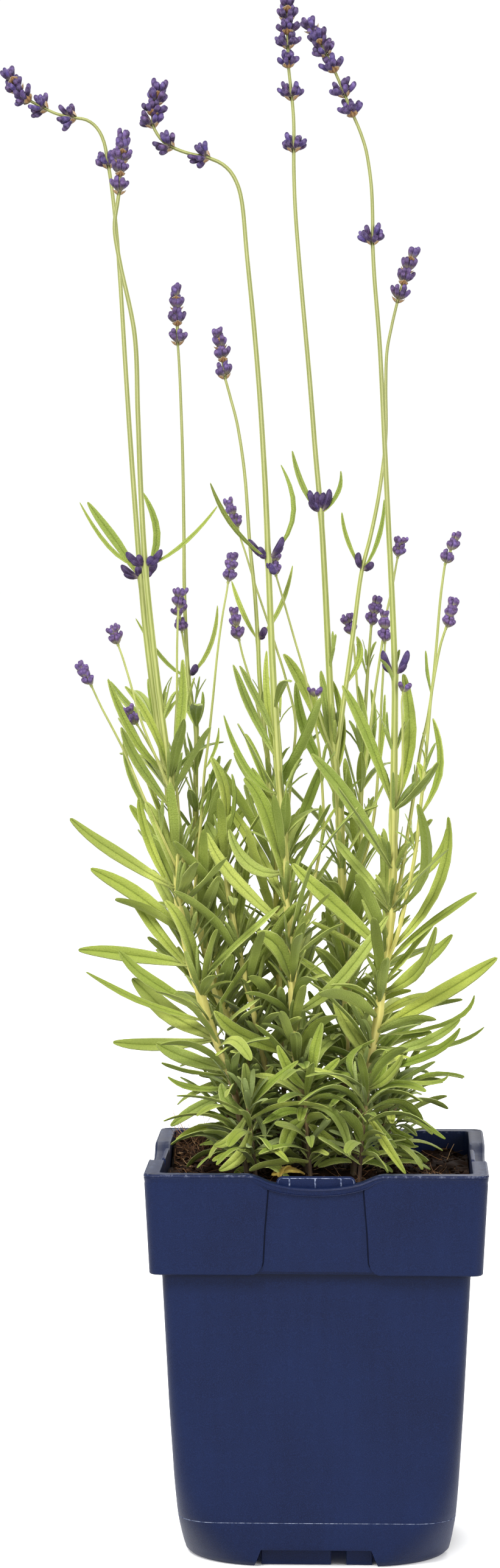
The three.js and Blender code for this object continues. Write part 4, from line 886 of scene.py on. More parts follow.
def middling_leaf(route, z, bearing, draw, facts):
    """A leaf of middling size in the thick of the clump."""
    foot = seen(*foot_on([route], 0, z))
    length, width, rise, droop = facts
    length *= 1 + 0.3 * draw()
    width *= 1 + 0.16 * draw()
    rise += 21 * draw()
    droop = droop * (1 + 0.6 * draw()) + 8 * draw()
    turn = 50 * draw()
    return squeeze_in([ruled_leaf(
        foot, bearing + swing, rise + lift, droop, length - abs(swing) / 10, width, turn,
    ) for lift in (0, -14, -30) for swing in SWINGS], 0.16)


# The pairs of middling leaves by height: length, width, angle from upright and droop.
MIDDLING = [
    (147, 21, 3.6, 72, 30), (160, 27, 3.9, 66, 34), (178, 34, 4.2, 58, 28),
    (200, 40, 4.3, 53, 16), (240, 44, 4.2, 40, 4), (270, 45, 4.0, 27, 0),
    (310, 40, 3.3, 20, 2), (330, 30, 2.6, 18, 2),
]
# How far one pair stands above the last, by height.
PAIR_GAP = ((150, 172, 200, 235, 262, 300), (3.2, 3.8, 6.0, 11, 24, 42))
PAIRS_TOP = 318
LOWEST_PAIR = 147.0
MOST_PAIRS = 34
# The shoots by height: how many leaves, their length and width, and how far they lean.
SHOOTS = [
    (150, 6, 17, 2.7, 52), (200, 8, 20, 2.3, 34), (250, 7, 22, 2.1, 24), (300, 5, 19, 1.8, 16),
    (345, 4, 13, 1.6, 14),
]
SHOOT_GAP = ((240, 290), (17, 30))
SHOOTS_TOP = 342
# The bunches of young leaves up a side stalk: their first height above its foot, their
# highest place and the gap between them, and then the same facts as for a shoot.
STALK_BUNCHES = (14, 300, 30)
STALK_SHOOT = (4, 13, 1.7, 20)

draw = lottery(90211)
mains = [(stem["axes"][0].route, stem) for stem in plant.values()]
reached = [LOWEST_PAIR] * len(mains)
for i in range(MOST_PAIRS):
    for n, (main, stem) in enumerate(mains):
        z, top = reached[n] + 1.2 * draw(), main[-1][1]
        reached[n] += ramp(z, *PAIR_GAP)
        if z > min(top - 1, PAIRS_TOP):
            continue
        turn = 90 * i + 45 + 24 * draw()
        facts = by_height(MIDDLING, z)
        for half in (0, 180):
            bearing = turn + half + 20 * draw()
            stem["middling"] += middling_leaf(main, z, bearing, draw, facts)
for main, stem in mains:
    z, turn = main[1][1] - 5, 180 * draw()
    while z < min(main[-1][1] - 2, SHOOTS_TOP):
        for half in (0, 180):
            stem["young"] += young_shoot(main, z, 0, turn + half, draw, *by_height(SHOOTS, z))
        z += ramp(z, *SHOOT_GAP) + 4 * draw()
        turn += 90 + 14 * draw()
    for axis in stem["axes"][1:]:
        (x, foot, _), top = axis.route[0], axis.route[-1][1]
        first, highest, gap = STALK_BUNCHES
        for z in np.arange(foot + first, min(top, highest), gap):
            bearing = 180 * draw()
            stem["young"] += young_shoot(axis.route, float(z), x, bearing, draw, *STALK_SHOOT)


# ---- how thick the clump is round a point, for the leaves' painted shade

# The clump's thickness is kept on a grid of coarse cells, smoothed over about a centimetre.
COARSE = 3.0
GRID_CORNER = np.array((-150.0, -110.0, 110.0))
GRID_CELLS = np.array((100, 74, 170))


def clump_density():
    keys = np.array(sorted(full))
    cells = np.stack((keys // CELLS_A_SIDE ** 2, keys // CELLS_A_SIDE % CELLS_A_SIDE,
                      keys % CELLS_A_SIDE), 1)
    places = ((cells - int(FINE_CORNER_CELLS)) * FINE - GRID_CORNER) / COARSE
    density = np.zeros(GRID_CELLS)
    np.add.at(density, tuple(np.clip(places.astype(int), 0, GRID_CELLS - 1).T), 1)
    for axis in (0, 1, 2):
        for _ in range(3):
            density = (density + np.roll(density, 1, axis) + np.roll(density, -1, axis)) / 3
    return density / np.percentile(density[density > 0.5], 90)


DENSITY = clump_density()


def depth_in_clump(points):
    """How thickly the leaves stand round each point, from nought to about one."""
    places = (np.array(points) - GRID_CORNER) / COARSE - 0.5
    low = np.clip(np.floor(places).astype(int), 0, GRID_CELLS - 2)
    part = np.clip(places - low, 0, 1)
    depth = np.zeros(len(points))
    for corner in np.ndindex(2, 2, 2):
        weight = np.prod(np.where(corner, part, 1 - part), axis=1)
        depth += weight * DENSITY[tuple((low + corner).T)]
    return depth


# ---- skins


def stood(name, data):
    """A new object in the scene."""
    thing = bpy.data.objects.new(name, data)
    bpy.context.scene.collection.objects.link(thing)
    return thing


class Skin:
    """The points, faces and marks of one piece, gathered before its mesh is made."""

    MARKS = ("across", "along", "tint", "pale")

    def __init__(self):
        self.points, self.faces, self.kinds = [], [], []
        self.marks = {name: [] for name in self.MARKS}

    def add(self, points, faces, kind, across=0.0, along=0.0, tint=0.0, pale=0.0):
        start = len(self.points)
        self.points += points
        self.faces += [tuple(start + k for k in face) for face in faces]
        self.kinds += [kind] * len(faces)
        for name, mark in zip(self.MARKS, (across, along, tint, pale)):
            alike = isinstance(mark, (int, float))
            self.marks[name] += [mark] * len(points) if alike else list(mark)

    def loft(self, rings, kind, across=None, along=None, tint=0.0, pale=0.0):
        """A closed skin over rings of points. A ring of one point closes it in a tip."""
        faces, start = [], 0
        for lower, upper in zip(rings, rings[1:]):
            above = start + len(lower)
            n = max(len(lower), len(upper))
            for k in range(n):
                m = (k + 1) % n
                if len(lower) == 1:
                    faces.append((start, above + m, above + k))
                elif len(upper) == 1:
                    faces.append((start + k, start + m, above))
                else:
                    faces.append((start + k, start + m, above + m, above + k))
            start = above
        if len(rings[0]) > 2:
            faces.append(tuple(reversed(range(len(rings[0])))))
        if len(rings[-1]) > 2:
            faces.append(tuple(range(start, start + len(rings[-1]))))
        side = [0.0 if len(ring) == 1 or across is None else across[k]
                for ring in rings for k in range(len(ring))]
        way = [0.0 if along is None else along[i] for i, ring in enumerate(rings) for _ in ring]
        self.add([p for ring in rings for p in ring], faces, kind, side, way, tint, pale)

    def piece(self, name, finishes, sharp=50):
        """The object of this skin, with edges kept sharp from an angle in degrees."""
        mesh = bpy.data.meshes.new(name)
        mesh.from_pydata([tuple(c / 1000 for c in p) for p in self.points], [], self.faces)
        # The thickness of the clump round each point, which the leaves' finish turns into painted
        # shade.
        self.marks["clump_shade"] = depth_in_clump(self.points)
        for mark, values in self.marks.items():
            mesh.attributes.new(mark, "FLOAT", "POINT").data.foreach_set("value", values)
        for finish in finishes:
            mesh.materials.append(finish)
        mesh.polygons.foreach_set("material_index", self.kinds)
        mesh.polygons.foreach_set("use_smooth", [True] * len(self.faces))
        mesh.set_sharp_from_angle(angle=radians(sharp))
        mesh.update()
        piece = stood(name, mesh)
        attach(piece, "root")
        return piece


def curve_through(points, step):
    """Points along a smooth curve through the given ones, with the place between them."""
    ends = [plus(points[0], minus(points[0], points[1]))] + list(points)
    ends.append(plus(points[-1], minus(points[-1], points[-2])))
    line = []
    for i in range(1, len(ends) - 2):
        a, b, c, d = ends[i - 1:i + 3]
        steps = max(1, ceil(size(minus(c, b)) / step))
        for s in range(steps):
            t = s / steps
            ka, kb = -t + 2 * t * t - t ** 3, 2 - 5 * t * t + 3 * t ** 3
            kc, kd = t + 4 * t * t - 3 * t ** 3, t ** 3 - t * t
            line.append((tuple((ka * p + kb * q + kc * r + kd * u) / 2
                               for p, q, r, u in zip(a, b, c, d)), i - 1 + t))
    line.append((points[-1], len(points) - 1.0))
    return line


# ---- leaves and stems in full

LEAF, BARK, BUD, PAPER = 0, 1, 2, 3

# A blade's section, from one rolled margin over the grooved top and back under the midrib:
# place across as a share of the half width, and height as a share of the width.
BLADE_SECTION = [
    (-1.0, -0.07), (-0.9, 0.02), (-0.55, 0.06), (-0.16, 0.02), (0.0, -0.035), (0.16, 0.02),
    (0.55, 0.06), (0.9, 0.02), (1.0, -0.07), (0.88, -0.12), (0.28, -0.06), (0.0, -0.17),
    (-0.28, -0.06), (-0.88, -0.12),
]
MIDDLING_SECTION = [
    (-1.0, -0.06), (-0.82, 0.04), (-0.4, 0.055), (0.0, -0.035), (0.4, 0.055), (0.82, 0.04),
    (1.0, -0.06), (0.55, -0.1), (0.0, -0.17), (-0.55, -0.1),
]
NARROW_SECTION = [
    (-1.0, -0.03), (-0.55, 0.05), (0.0, -0.04), (0.55, 0.05), (1.0, -0.03), (0.5, -0.1),
    (0.0, -0.19), (-0.5, -0.1),
]

# How wide a blade is along its length.
BLADE_SHAPE = [
    (0.0, 0.26), (0.07, 0.38), (0.17, 0.64), (0.3, 0.88), (0.44, 1.02), (0.57, 1.05), (0.69, 0.98),
    (0.8, 0.84), (0.885, 0.66), (0.95, 0.45), (0.987, 0.26),
]
MIDDLING_SHAPE = [
    (0.0, 0.3), (0.1, 0.5), (0.22, 0.76), (0.34, 0.92), (0.46, 1.0), (0.58, 1.03), (0.7, 1.0),
    (0.81, 0.93), (0.9, 0.78), (0.955, 0.57), (0.988, 0.32),
]
YOUNG_SHAPE = [
    (0.0, 0.4), (0.14, 0.62), (0.36, 0.88), (0.62, 1.0), (0.82, 0.88), (0.94, 0.6), (0.985, 0.34),
]
# Each size of leaf: its shape, its section and the section's first place on the underside.
BLADES = {
    "large": (BLADE_SHAPE, BLADE_SECTION, 9),
    "middling": (MIDDLING_SHAPE, MIDDLING_SECTION, 7),
    "young": (YOUNG_SHAPE, NARROW_SECTION, 5),
}
# The margin's waves along a blade: how deep they are as a share of its width.
MARGIN_WAVE = 0.05


def add_blade(skin, leaf, draw, kind="large", pale=0.0):
    shape, section, first_under = BLADES[kind]
    wave, phase, fold = 0.5 + 0.5 * draw(), 3 * draw(), 0.05 + 0.05 * draw()
    tint = draw()
    rings = []
    for t, share in shape:
        at, across, above = leaf.frame(t)
        half = leaf.width * share / 2
        sway = MARGIN_WAVE * leaf.width * wave * sin(9 * t + phase)
        ring = []
        for u, h in section:
            lift = h * leaf.width * (0.55 + 0.45 * share) + fold * leaf.width * abs(u) * share
            lift += MARGIN_WAVE * leaf.width * wave * sin(14 * t + 2 * phase + 2 * u) * abs(u)
            ring.append(plus(plus(at, across, u * half + sway), above, lift))
        rings.append(ring)
    at, _, above = leaf.frame(1)
    rings.append([plus(at, above, -0.03 * leaf.width)])
    skin.loft(rings, LEAF, [u for u, _ in section], [t for t, _ in shape] + [1.0], tint, pale)
    # The underside is told from the top by its place past the margins.
    count = len(section)
    start = len(skin.points) - count * len(shape) - 1
    marks = skin.marks["across"]
    for i in range(len(shape)):
        for k in range(first_under, count):
            marks[start + i * count + k] = 2.0 - abs(section[k][0])


# A square stem's section: its radius from one corner to the next, in quarters of a side.
STEM_SECTION = (1.0, 0.87, 0.77, 0.87)
# How thick a stem is for its route's radius, and how square it has grown, by height.
STEM_SWELL = ((145, 180, 215, 270, 330, 430, 520), (0.66, 0.8, 1.04, 1.0, 0.86, 0.72, 0.62))
STEM_SQUARE = ((150, 185, 230), (0.15, 0.5, 1.0))
THICK_STEM = 2.0


def add_stem(skin, axis, nodes, draw, spike_part=False):
    """A stem with swollen nodes, or the part of it that runs on inside a spike."""
    frames = axis.top if spike_part else axis.stem
    radii = axis.radii()
    points = [line[0] for line in frames]
    if spike_part:
        points = [plus(points[0], frames[0][1], -0.9)] + points[1:]
        if len(points) == 1:
            points.append(plus(points[0], frames[0][1], 2.2))
    step, turns = (2.4, 16) if max(radii) * 2 > THICK_STEM else (3.2, 8)
    line = curve_through(points, step)
    normal = frames[0][2]
    edges = [STEM_SECTION[(k * 16 // turns) % 4] for k in range(turns)]
    rings, places = [], []
    tint = draw()
    for i, (at, place) in enumerate(line):
        ahead, behind = line[min(i + 1, len(line) - 1)][0], line[max(i - 1, 0)][0]
        tangent = unit(minus(ahead, behind))
        normal = square_to(normal, tangent)
        side = cross(tangent, normal)
        if spike_part:
            slim = 0.85 if axis.spike["kind"] == "young" else 1
            radius = 0.7 * (1 - 0.3 * place / len(points)) * slim
        else:
            k = min(int(place), len(radii) - 2)
            radius = radii[k] + (radii[k + 1] - radii[k]) * (place - k)
            radius *= ramp(at[2], *STEM_SWELL)
            for z in nodes:
                radius *= 1 + 0.22 * exp(-((at[2] - z) / 2.4) ** 2)
        square = ramp(at[2], *STEM_SQUARE)
        ring = []
        for angle, edge in zip(circle(turns), edges):
            r = radius * (1 - square * (1 - edge))
            ring.append(plus(plus(at, normal, r * cos(angle)), side, r * sin(angle)))
        rings.append(ring)
        places.append(at[2] / 600)
    skin.loft(rings, BARK, edges, places, tint)


# A closed bud or calyx: place along it and radius as a share of its greatest.
BUD_SHAPE = [
    (0.0, 0.36), (0.08, 0.52), (0.21, 0.73), (0.38, 0.89), (0.58, 1.0), (0.76, 1.03),
    (0.88, 0.9), (0.955, 0.62), (0.99, 0.28),
]
# A bud in an axil stands on a short thin stalk of its own.
STALKED_SHAPE = [
    (0.0, 0.2), (0.13, 0.24), (0.24, 0.46), (0.38, 0.84), (0.56, 1.0), (0.75, 1.0),
    (0.88, 0.8), (0.955, 0.5), (0.99, 0.24),
]
BUD_SIDES = 9


def add_bud(skin, foot, way, radius, draw, curve=0.06, pale=0.0, shape=BUD_SHAPE):
    """A plump ribbed bud from its foot along a way, bowed a little upward."""
    length = size(way)
    tangent = unit(way)
    normal = square_to(UP if abs(tangent[2]) < 0.95 else (1.0, 0.0, 0.0), tangent)
    side = cross(tangent, normal)
    turned, tint = 3 * draw(), draw()
    rings = []
    for t, share in shape:
        bow = curve * length * 4 * t * (t - 1)
        at = plus(plus(foot, tangent, t * length), normal, bow)
        ring = []
        for k, angle in enumerate(circle(BUD_SIDES)):
            r, a = radius * share * (1.05 if k % 3 == 0 else 1.0), angle + turned
            ring.append(plus(plus(at, normal, r * cos(a)), side, r * sin(a)))
        rings.append(ring)
    rings.append([plus(foot, tangent, length)])
    ribs = [k % 3 for k in range(BUD_SIDES)]
    skin.loft(rings, BUD, ribs, [t for t, _ in shape] + [1.0], tint, pale)


# How wide a bract is in even steps from its foot to its point, and the places across it.
BRACT_SHAPE = (0.3, 0.78, 1.0, 0.86, 0.5, 0.12)
BRACT_PLACES = (-1, -0.5, 0, 0.5, 1)


def add_bract(skin, foot, out, up, width, height, draw):
    """The papery bract under a fan of buds: a pointed shield, cupped round the stem."""
    side = cross(up, out)
    tint = draw()
    last, columns = len(BRACT_SHAPE) - 1, len(BRACT_PLACES)
    front = []
    for i, share in enumerate(BRACT_SHAPE):
        t = i / last
        lean = radians(68 - 24 * t)
        at = plus(plus(foot, up, height * t * cos(lean)), out, height * t * sin(lean))
        for u in BRACT_PLACES:
            cup = (u * share) ** 2
            edge = plus(at, side, u * share * width / 2)
            front.append(plus(plus(edge, up, 0.6 * cup), out, -0.9 * cup))
    back = [plus(plus(p, up, -0.13), out, 0.03) for p in front]
    n = len(front)
    faces = []
    for i in range(last):
        for k in range(columns - 1):
            a = i * columns + k
            b, c, d = a + 1, a + 1 + columns, a + columns
            faces += [(a, b, c, d), (n + d, n + c, n + b, n + a)]
    rim = list(range(columns - 1)) + [i * columns + columns - 1 for i in range(last)]
    rim += [n - 1 - k for k in range(columns - 1)] + [(last - i) * columns for i in range(last)]
    for a, b in zip(rim, rim[1:] + rim[:1]):
        faces.append((b, a, n + a, n + b))
    across = list(BRACT_PLACES) * (last + 1) * 2
    along = [i / last for i in range(last + 1) for _ in BRACT_PLACES] * 2
    skin.add(front + back, faces, PAPER, across, along, tint)


# How the buds of one fan stand: turned from the fan's middle, and leaning from the stem.
FANS = {
    "open": [(-62, 60), (-21, 66), (22, 68), (60, 62), (-34, 26), (32, 29), (0, 42)],
    "full": [(-64, 40), (-21, 42), (22, 44), (64, 42), (-32, 14), (30, 16)],
    "young": [(-68, 40), (-24, 34), (26, 34), (70, 42), (-46, 14), (0, 10), (46, 16)],
}
# How much paler than the open heads the younger ones are, how plump their buds are, and how
# large a bract stands under a fan, if one does.
PALENESS = {"open": 0.0, "full": 0.25, "young": 0.5}
PLUMPNESS = {"open": 0.94, "full": 0.94, "young": 1.0}
BRACT_SIZE = {"open": 1.0, "full": 0.8}


def add_spike(skin, axis, draw):
    add_stem(skin, axis, (), draw, spike_part=True)
    kind = axis.spike["kind"]
    facts = SPIKE_KINDS[kind]
    last = len(axis.top) - 1
    for i, (at, tangent, normal, binormal) in enumerate(axis.top):
        count = axis.spike["points"][i][3]
        if not count:
            continue
        turned = 90 * i + 8 * draw()
        closing = max(0.0, 1 - 0.5 * (last - i)) if last > 1 else 0.0
        fan = FANS[kind]
        if i == last:
            fan = fan[:4] if kind == "open" else fan[:3]
        for half in (0, 180):
            for swing, lean in fan:
                azimuth = radians(turned + half + swing + 7 * draw())
                tilt = radians(lean * (1 - 0.6 * closing) + 5 * draw())
                out = leaning(normal, binormal, azimuth)
                rise = 0.4 + (0.9 if lean < 30 else 0.0) + 0.5 * draw()
                foot = plus(plus(at, tangent, rise), out, 0.55)
                way = plus(leaning(tangent, out, tilt), UP, LIFT)
                length = facts["length"] * (0.94 + 0.16 * draw())
                radius = facts["half"] * (PLUMPNESS[kind] + 0.07 * draw())
                add_bud(skin, foot, unit(way, length), radius, draw, pale=PALENESS[kind])
            if kind in BRACT_SIZE:
                out = leaning(normal, binormal, radians(turned + half))
                foot, scale = plus(plus(at, tangent, -1.1), out, 0.62), BRACT_SIZE[kind]
                add_bract(skin, foot, out, tangent, 4.8 * scale, 3.6 * scale, draw)


AWAY = (0.0, 1.0, 0.0)
DARK_BUD = -0.7


def add_axil_bud(skin, routes, row, draw):
    """A dark bud in a leaf's axil, with a shorter one at its side."""
    x, z, tip_x, tip_z = row
    foot_x, foot_z, depth = foot_on(routes, x, z)
    foot, tip = seen(foot_x, foot_z, depth), seen(tip_x, tip_z, depth - 1)
    way = minus(tip, foot)
    add_bud(skin, foot, way, 1.4, draw, curve=0.08, pale=DARK_BUD, shape=STALKED_SHAPE)
    side = unit(cross(way, AWAY))
    share = 0.16 if tip_x < foot_x else -0.16
    shorter = plus(tuple(c * (0.66 + 0.1 * draw()) for c in way), side, size(way) * share)
    shorter = plus(shorter, AWAY, 1.2 * draw())
    add_bud(skin, foot, shorter, 1.1, draw, pale=DARK_BUD, shape=STALKED_SHAPE)


# Two yellowed leaves at the foot of the clump, on the peat.
WITHERED = [
    ((-5, -26, 147.4), (-11, -29, 149.6), (-17.5, -32, 147.6), 5.4, 14),
    ((-9, -24, 147.6), (-13, -29, 150.4), (-14.5, -35.5, 147.4), 4.2, -20),
]
# From this height up, every large leaf is turned out.
TURNED_FROM = 335


def turn_out(leaf):
    """Twists a leaf at its foot so that more of its face shows to the front."""
    side = unit(cross(AWAY, unit(minus(leaf.tip, leaf.foot))))
    twist = ramp(leaf.foot[2], (300, 350), (0.75, 1.3))
    leaf.across = unit(plus(leaf.across, side, copysign(twist, dot(leaf.across, side))))
    leaf.width *= ramp(leaf.foot[2], (300, 350), (1.14, 1.0))


def foliage(owner, stem, finishes):
    """A stem with its side stalks, leaves and axil buds."""
    skin, draw = Skin(), lottery(577 + 31 * len(owner) + ord(owner[-1]))
    buds = BUDS.get(owner, [])
    nodes = STEMS[owner].get("pairs", []) + [row[1] for row in buds[:1]]
    for i, axis in enumerate(stem["axes"]):
        add_stem(skin, axis, nodes if i == 0 else (), draw)
    for leaf in stem["leaves"]:
        if leaf.sighted or leaf.foot[2] > TURNED_FROM:
            turn_out(leaf)
        add_blade(skin, leaf, draw)
    for leaf in stem["middling"]:
        add_blade(skin, leaf, draw, "middling")
    for leaf in stem["young"]:
        add_blade(skin, leaf, draw, "young", pale=-1.0)
    if owner == "centre":
        for row in WITHERED:
            add_blade(skin, Leaf(*row), draw, pale=1.0)
    routes = [axis.route for axis in stem["axes"]]
    for row in buds:
        add_axil_bud(skin, routes, row, draw)
    piece = skin.piece("foliage_" + owner, finishes)
    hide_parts("stem_" + owner)


def flowers(owner, stem, finishes):
    """The spikes of a stem and of its side stalks, each a piece of its own."""
    spiked = [axis for axis in stem["axes"] if axis.spike]
    for i, axis in enumerate(spiked):
        skin, draw = Skin(), lottery(911 + 17 * i + 101 * len(owner) + ord(owner[0]))
        add_spike(skin, axis, draw)
        piece = skin.piece(f"flowers_{owner}_{i + 1}", finishes)
        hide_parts(f"spike_{owner}_{i + 1}")


# ---- the pot

# The cosine and sine of the turn from the pot's front to each of its sides.
QUARTER_TURNS = ((1, 0), (0, 1), (-1, 0), (0, -1))
WALL_TOP, WALL_TOP_HALF = WALL_PROFILE[-1][:2]
FLOOR_TOP = FLOOR_UNDERSIDE + WALL
LIP_LEVEL = 148


def wall_at(z):
    """The half width and corner radius of the wall's outside at a height, with the bends of
    its profile rounded."""
    near = [by_height(WALL_PROFILE, z + d) for d in (-3, -1.5, 0, 1.5, 3)]
    if 3 < z < WALL_TOP - 3:
        return [sum(column) / len(near) for column in zip(*near)]
    return near[2]


def collar_half(z):
    return RIM_WIDTH / 2 - COLLAR_FLARE * (POT_HEIGHT - z) / (POT_HEIGHT - COLLAR_FOOT)


# The finger scoop in the middle of each side: places along the side, and its depth there.
SCOOP = ((0, 4.5, 9, 13, 17.6, 20, 21.8, 23.6, 25.3),
         (5.1, 5.0, 4.6, 3.95, 2.8, 1.75, 0.95, 0.32, 0))
# The tab that stands behind the scoop: its top, its half width, and where the rounding of
# its shoulder starts and its radius.
TAB_TOP = 151.4
TAB_HALF = 15.01
TAB_FLAT = 12.6
TAB_ROUND = 2.4


def rim_at(x):
    """The height of the rim along a side: it dips in a finger scoop in the middle."""
    return POT_HEIGHT - ramp(abs(x), *SCOOP)


def tab_at(x):
    """The height of the tab along a side, or of the rim beside it."""
    x = abs(x)
    if x > TAB_HALF:
        return rim_at(x)
    shoulder = sqrt(max(0, TAB_ROUND ** 2 - max(0, x - TAB_FLAT) ** 2))
    return TAB_TOP - (TAB_ROUND - shoulder)


# The columns of the pot's skin from the middle of a side to its corner. The inner ones are
# spread up to an edge that each row places for itself, the outer ones lie beyond that edge,
# and the last ones run on to the corner and round it.
INNER = [0, 3, 6, 9, 11.5, 13, 14, 14.7, 15.0, 15.12, 16.4]
EDGE = (17.7, 18.3)
OUTER = [20, 22, 24, 25.4, 27]
OUTER_START, OUTER_END = 18.8, 27
STRAIGHT = (0.45, 0.85, 0.97)
STRAIGHT_END = 29
CORNER_STEPS = 7
EDGE_IN = len(INNER)
COLUMNS = len(INNER) + len(EDGE) + len(OUTER) + len(STRAIGHT) + CORNER_STEPS + 1


def half_side(edge_in, edge_out, half, radius):
    """The places of one row's columns from a side's middle to its corner's diagonal, as
    (x, y) with y outward."""
    xs = [x / EDGE[0] * edge_in for x in INNER] + [edge_in, edge_out]
    first = edge_out + 0.4
    xs += [first + (OUTER_END - first) * (x - OUTER_START) / (OUTER_END - OUTER_START)
           for x in OUTER]
    flat = half - radius
    start = max(flat, STRAIGHT_END)
    xs += [OUTER_END + (start - OUTER_END) * share for share in STRAIGHT]
    end = flat + radius * pi / 4
    xs += [start + (end - start) * k / CORNER_STEPS for k in range(CORNER_STEPS + 1)]
    places = []
    for s in xs:
        if s <= flat:
            places.append((s, half))
        else:
            a = min((s - flat) / radius, pi / 4)
            places.append((flat + radius * sin(a), half - radius + radius * cos(a)))
    return places


def pot_row(half, radius, height, edges=EDGE, push=None):
    """One closed row of the pot's skin, counter-clockwise from above. Its height may depend
    on the place along the side and the column, and a push sets columns back."""
    places = half_side(*edges, half, max(radius, 0.6))
    side = []
    for column in range(-COLUMNS + 2, COLUMNS):
        k = abs(column)
        x, y = places[k]
        z = height(x, k) if callable(height) else height
        if push:
            y -= push(k, z)
        side.append((copysign(x, column), y, z))
    return [(x * c + y * s, x * s - y * c, z) for c, s in QUARTER_TURNS for x, y, z in side]


def rim_row(half, radius, drop):
    """A row that follows the rim from a little below it."""
    return pot_row(half, radius, lambda x, k: rim_at(x) - drop)


def shrunk(row, shares, z):
    """Rows of one height with a given row's outline, at shares of its size."""
    return [[(x * share, y * share, z) for x, y, _ in row] for share in shares]


def ring_round(x, y, radius, z, count):
    return [(x + radius * cos(a), y + radius * sin(a), z) for a in circle(count)]


# How far the middle panel's edge is from the middle of its side, by height.
PANEL_EDGE = [
    (114, 24.7), (114.3, 23.3), (114.8, 22.3), (115.8, 21.1), (117.2, 20.2), (119.2, 19.8),
    (131, 19.2), (145.2, 18.0),
]
PANEL_DEPTH = 0.75
PANEL_LEVELS = (143, 138, 131, 124, 120.5, 119.2, 118.1, 117.2, 116.4, 115.8, 115.3, 114.8, 114.5)
LIP = 2.7
# The lip from the rim's edge down, and the middle panel's top below it: how far under the
# rim each row is, and how far it is set in.
LIP_ROWS = [
    (0.0, 1.0), (-0.12, 0.75), (-0.12, 0.5), (0.05, 0.16), (0.4, 0.0), (0.75, -0.22),
    (1.1, 0.02), (LIP - 0.5, -0.05), (LIP - 0.15, 0.05),
]
UNDER_LIP = [(LIP + 0.1, 0.1), (LIP + 0.5, 0.12), (LIP + 1.2, 0.0)]
# Round the collar's foot: how far in, the corner's radius, the height, the height whose
# panel edge it takes and how much of the panel's depth is left.
FOOT_OF_COLLAR = [
    (0.12, 4.1, 114.25, 114.3, 1), (0.5, 3.8, 114, 114, 0.8), (1.25, 3.2, 114, 114, 0),
]
COLLAR_WALL = 1.6
# The collar's last rows, which the step round the middle panel doesn't reach.
ROWS_PAST_STEP = 6


def collar_rows():
    """The collar from the rim's edge down its face, under its foot and up inside."""

    def edges(z):
        inner = by_height(PANEL_EDGE, z)[0]
        return (inner - 0.3, inner + 0.3)

    def raised(z):
        """The middle panel's foot is a little higher than the corner panels'."""
        return lambda x, k: z + (min(max((119 - z) / 4, 0), 1) if k <= EDGE_IN else 0)

    def set_back(k, share=1):
        return PANEL_DEPTH * share if k <= EDGE_IN else 0.0

    rows = []
    half = collar_half(LIP_LEVEL)
    for part, share in ((LIP_ROWS, 0), (UNDER_LIP, 1)):
        for drop, inset in part:
            rows.append(pot_row(
                half, 4.2, lambda x, k: rim_at(x) - drop, edges(LIP_LEVEL),
                lambda k, z: set_back(k, share) + (half - collar_half(z)) + inset))
    for level in PANEL_LEVELS:
        half = collar_half(level)
        rows.append(pot_row(half, 4.2, raised(level), edges(level),
                            lambda k, z: set_back(k) + half - collar_half(z)))
    half = collar_half(COLLAR_FOOT)
    for inset, radius, level, edge_level, share in FOOT_OF_COLLAR:
        rows.append(pot_row(half - inset, radius, raised(level), edges(edge_level),
                            lambda k, z: set_back(k, share)))
    for level, z in ((COLLAR_FOOT, 114.4), (125, 125), (140, 140)):
        rows.append(pot_row(collar_half(level) - COLLAR_WALL, 3.0, z, edges(level)))
    rows.append(rim_row(collar_half(150) - 1.7, 3.0, 1.9))
    rows.append(rim_row(WALL_TOP_HALF + 0.5, 4.4, 1.75))
    return rows


# The wall's rows down to the fine line moulded round it, the rows of that line as heights
# and insets, and the rows below it.
WALL_LEVELS = (145, 136, 124, 112, 98, 84, 70, 62, 55, 48, 42, 37, 33, 29, 25.5, 22.5, 20, 18.2)
LINE_LEVEL = 17.4
LINE_ROWS = ((17.62, 0), (17.4, 0.14), (17.18, 0.05))
LOW_WALL_LEVELS = (15, 12.5, 10, 8.4, 7.2)
FOOT_LEVELS = (5.6, 4.2, 2.8, 1.8, 1.0, 0.4)
# The rounding of the foot's edge: height, half width and corner radius.
FOOT_EDGE = ((0.08, 49.1, 29.9), (0.0, 48.8, 29.7), (0.0, 48.0, 29), (0.3, 47.7, 28.8))
NOTCH_TOP = 6.6


def body_rows():
    """The wall's outside from the collar's web down, its foot with the notches, and its
    underside."""

    def edges(z):
        notch = 20.7 + 2.5 * min(max(1 - z / NOTCH_TOP, 0), 1)
        share = min(max((z - 12) / 90, 0), 1)
        inner = notch + (EDGE[0] - notch) * share
        return (inner - 0.05, inner + 0.4)

    def foot(z, half, radius):
        return pot_row(half, radius, lambda x, k: NOTCH_TOP + 0.01 * z if k <= EDGE_IN else z,
                       edges(z))

    rows = [pot_row(*wall_at(z), z, edges(z)) for z in WALL_LEVELS]
    half, radius = wall_at(LINE_LEVEL)
    rows += [pot_row(half - inset, radius, z, edges(17)) for z, inset in LINE_ROWS]
    rows += [pot_row(*wall_at(z), z, edges(z)) for z in LOW_WALL_LEVELS]
    rows += [foot(z, *by_height(WALL_PROFILE, z)) for z in FOOT_LEVELS]
    rows += [foot(*level) for level in FOOT_EDGE]
    for z in (2.0, 4.5):
        half, radius = by_height(WALL_PROFILE, z)
        rows.append(foot(z, half - WALL, radius - WALL))
    rows.append(pot_row(49.6, 23, FLOOR_UNDERSIDE, edges(7)))
    return rows + shrunk(rows[-1], (0.8, 0.5, 0.2), FLOOR_UNDERSIDE)


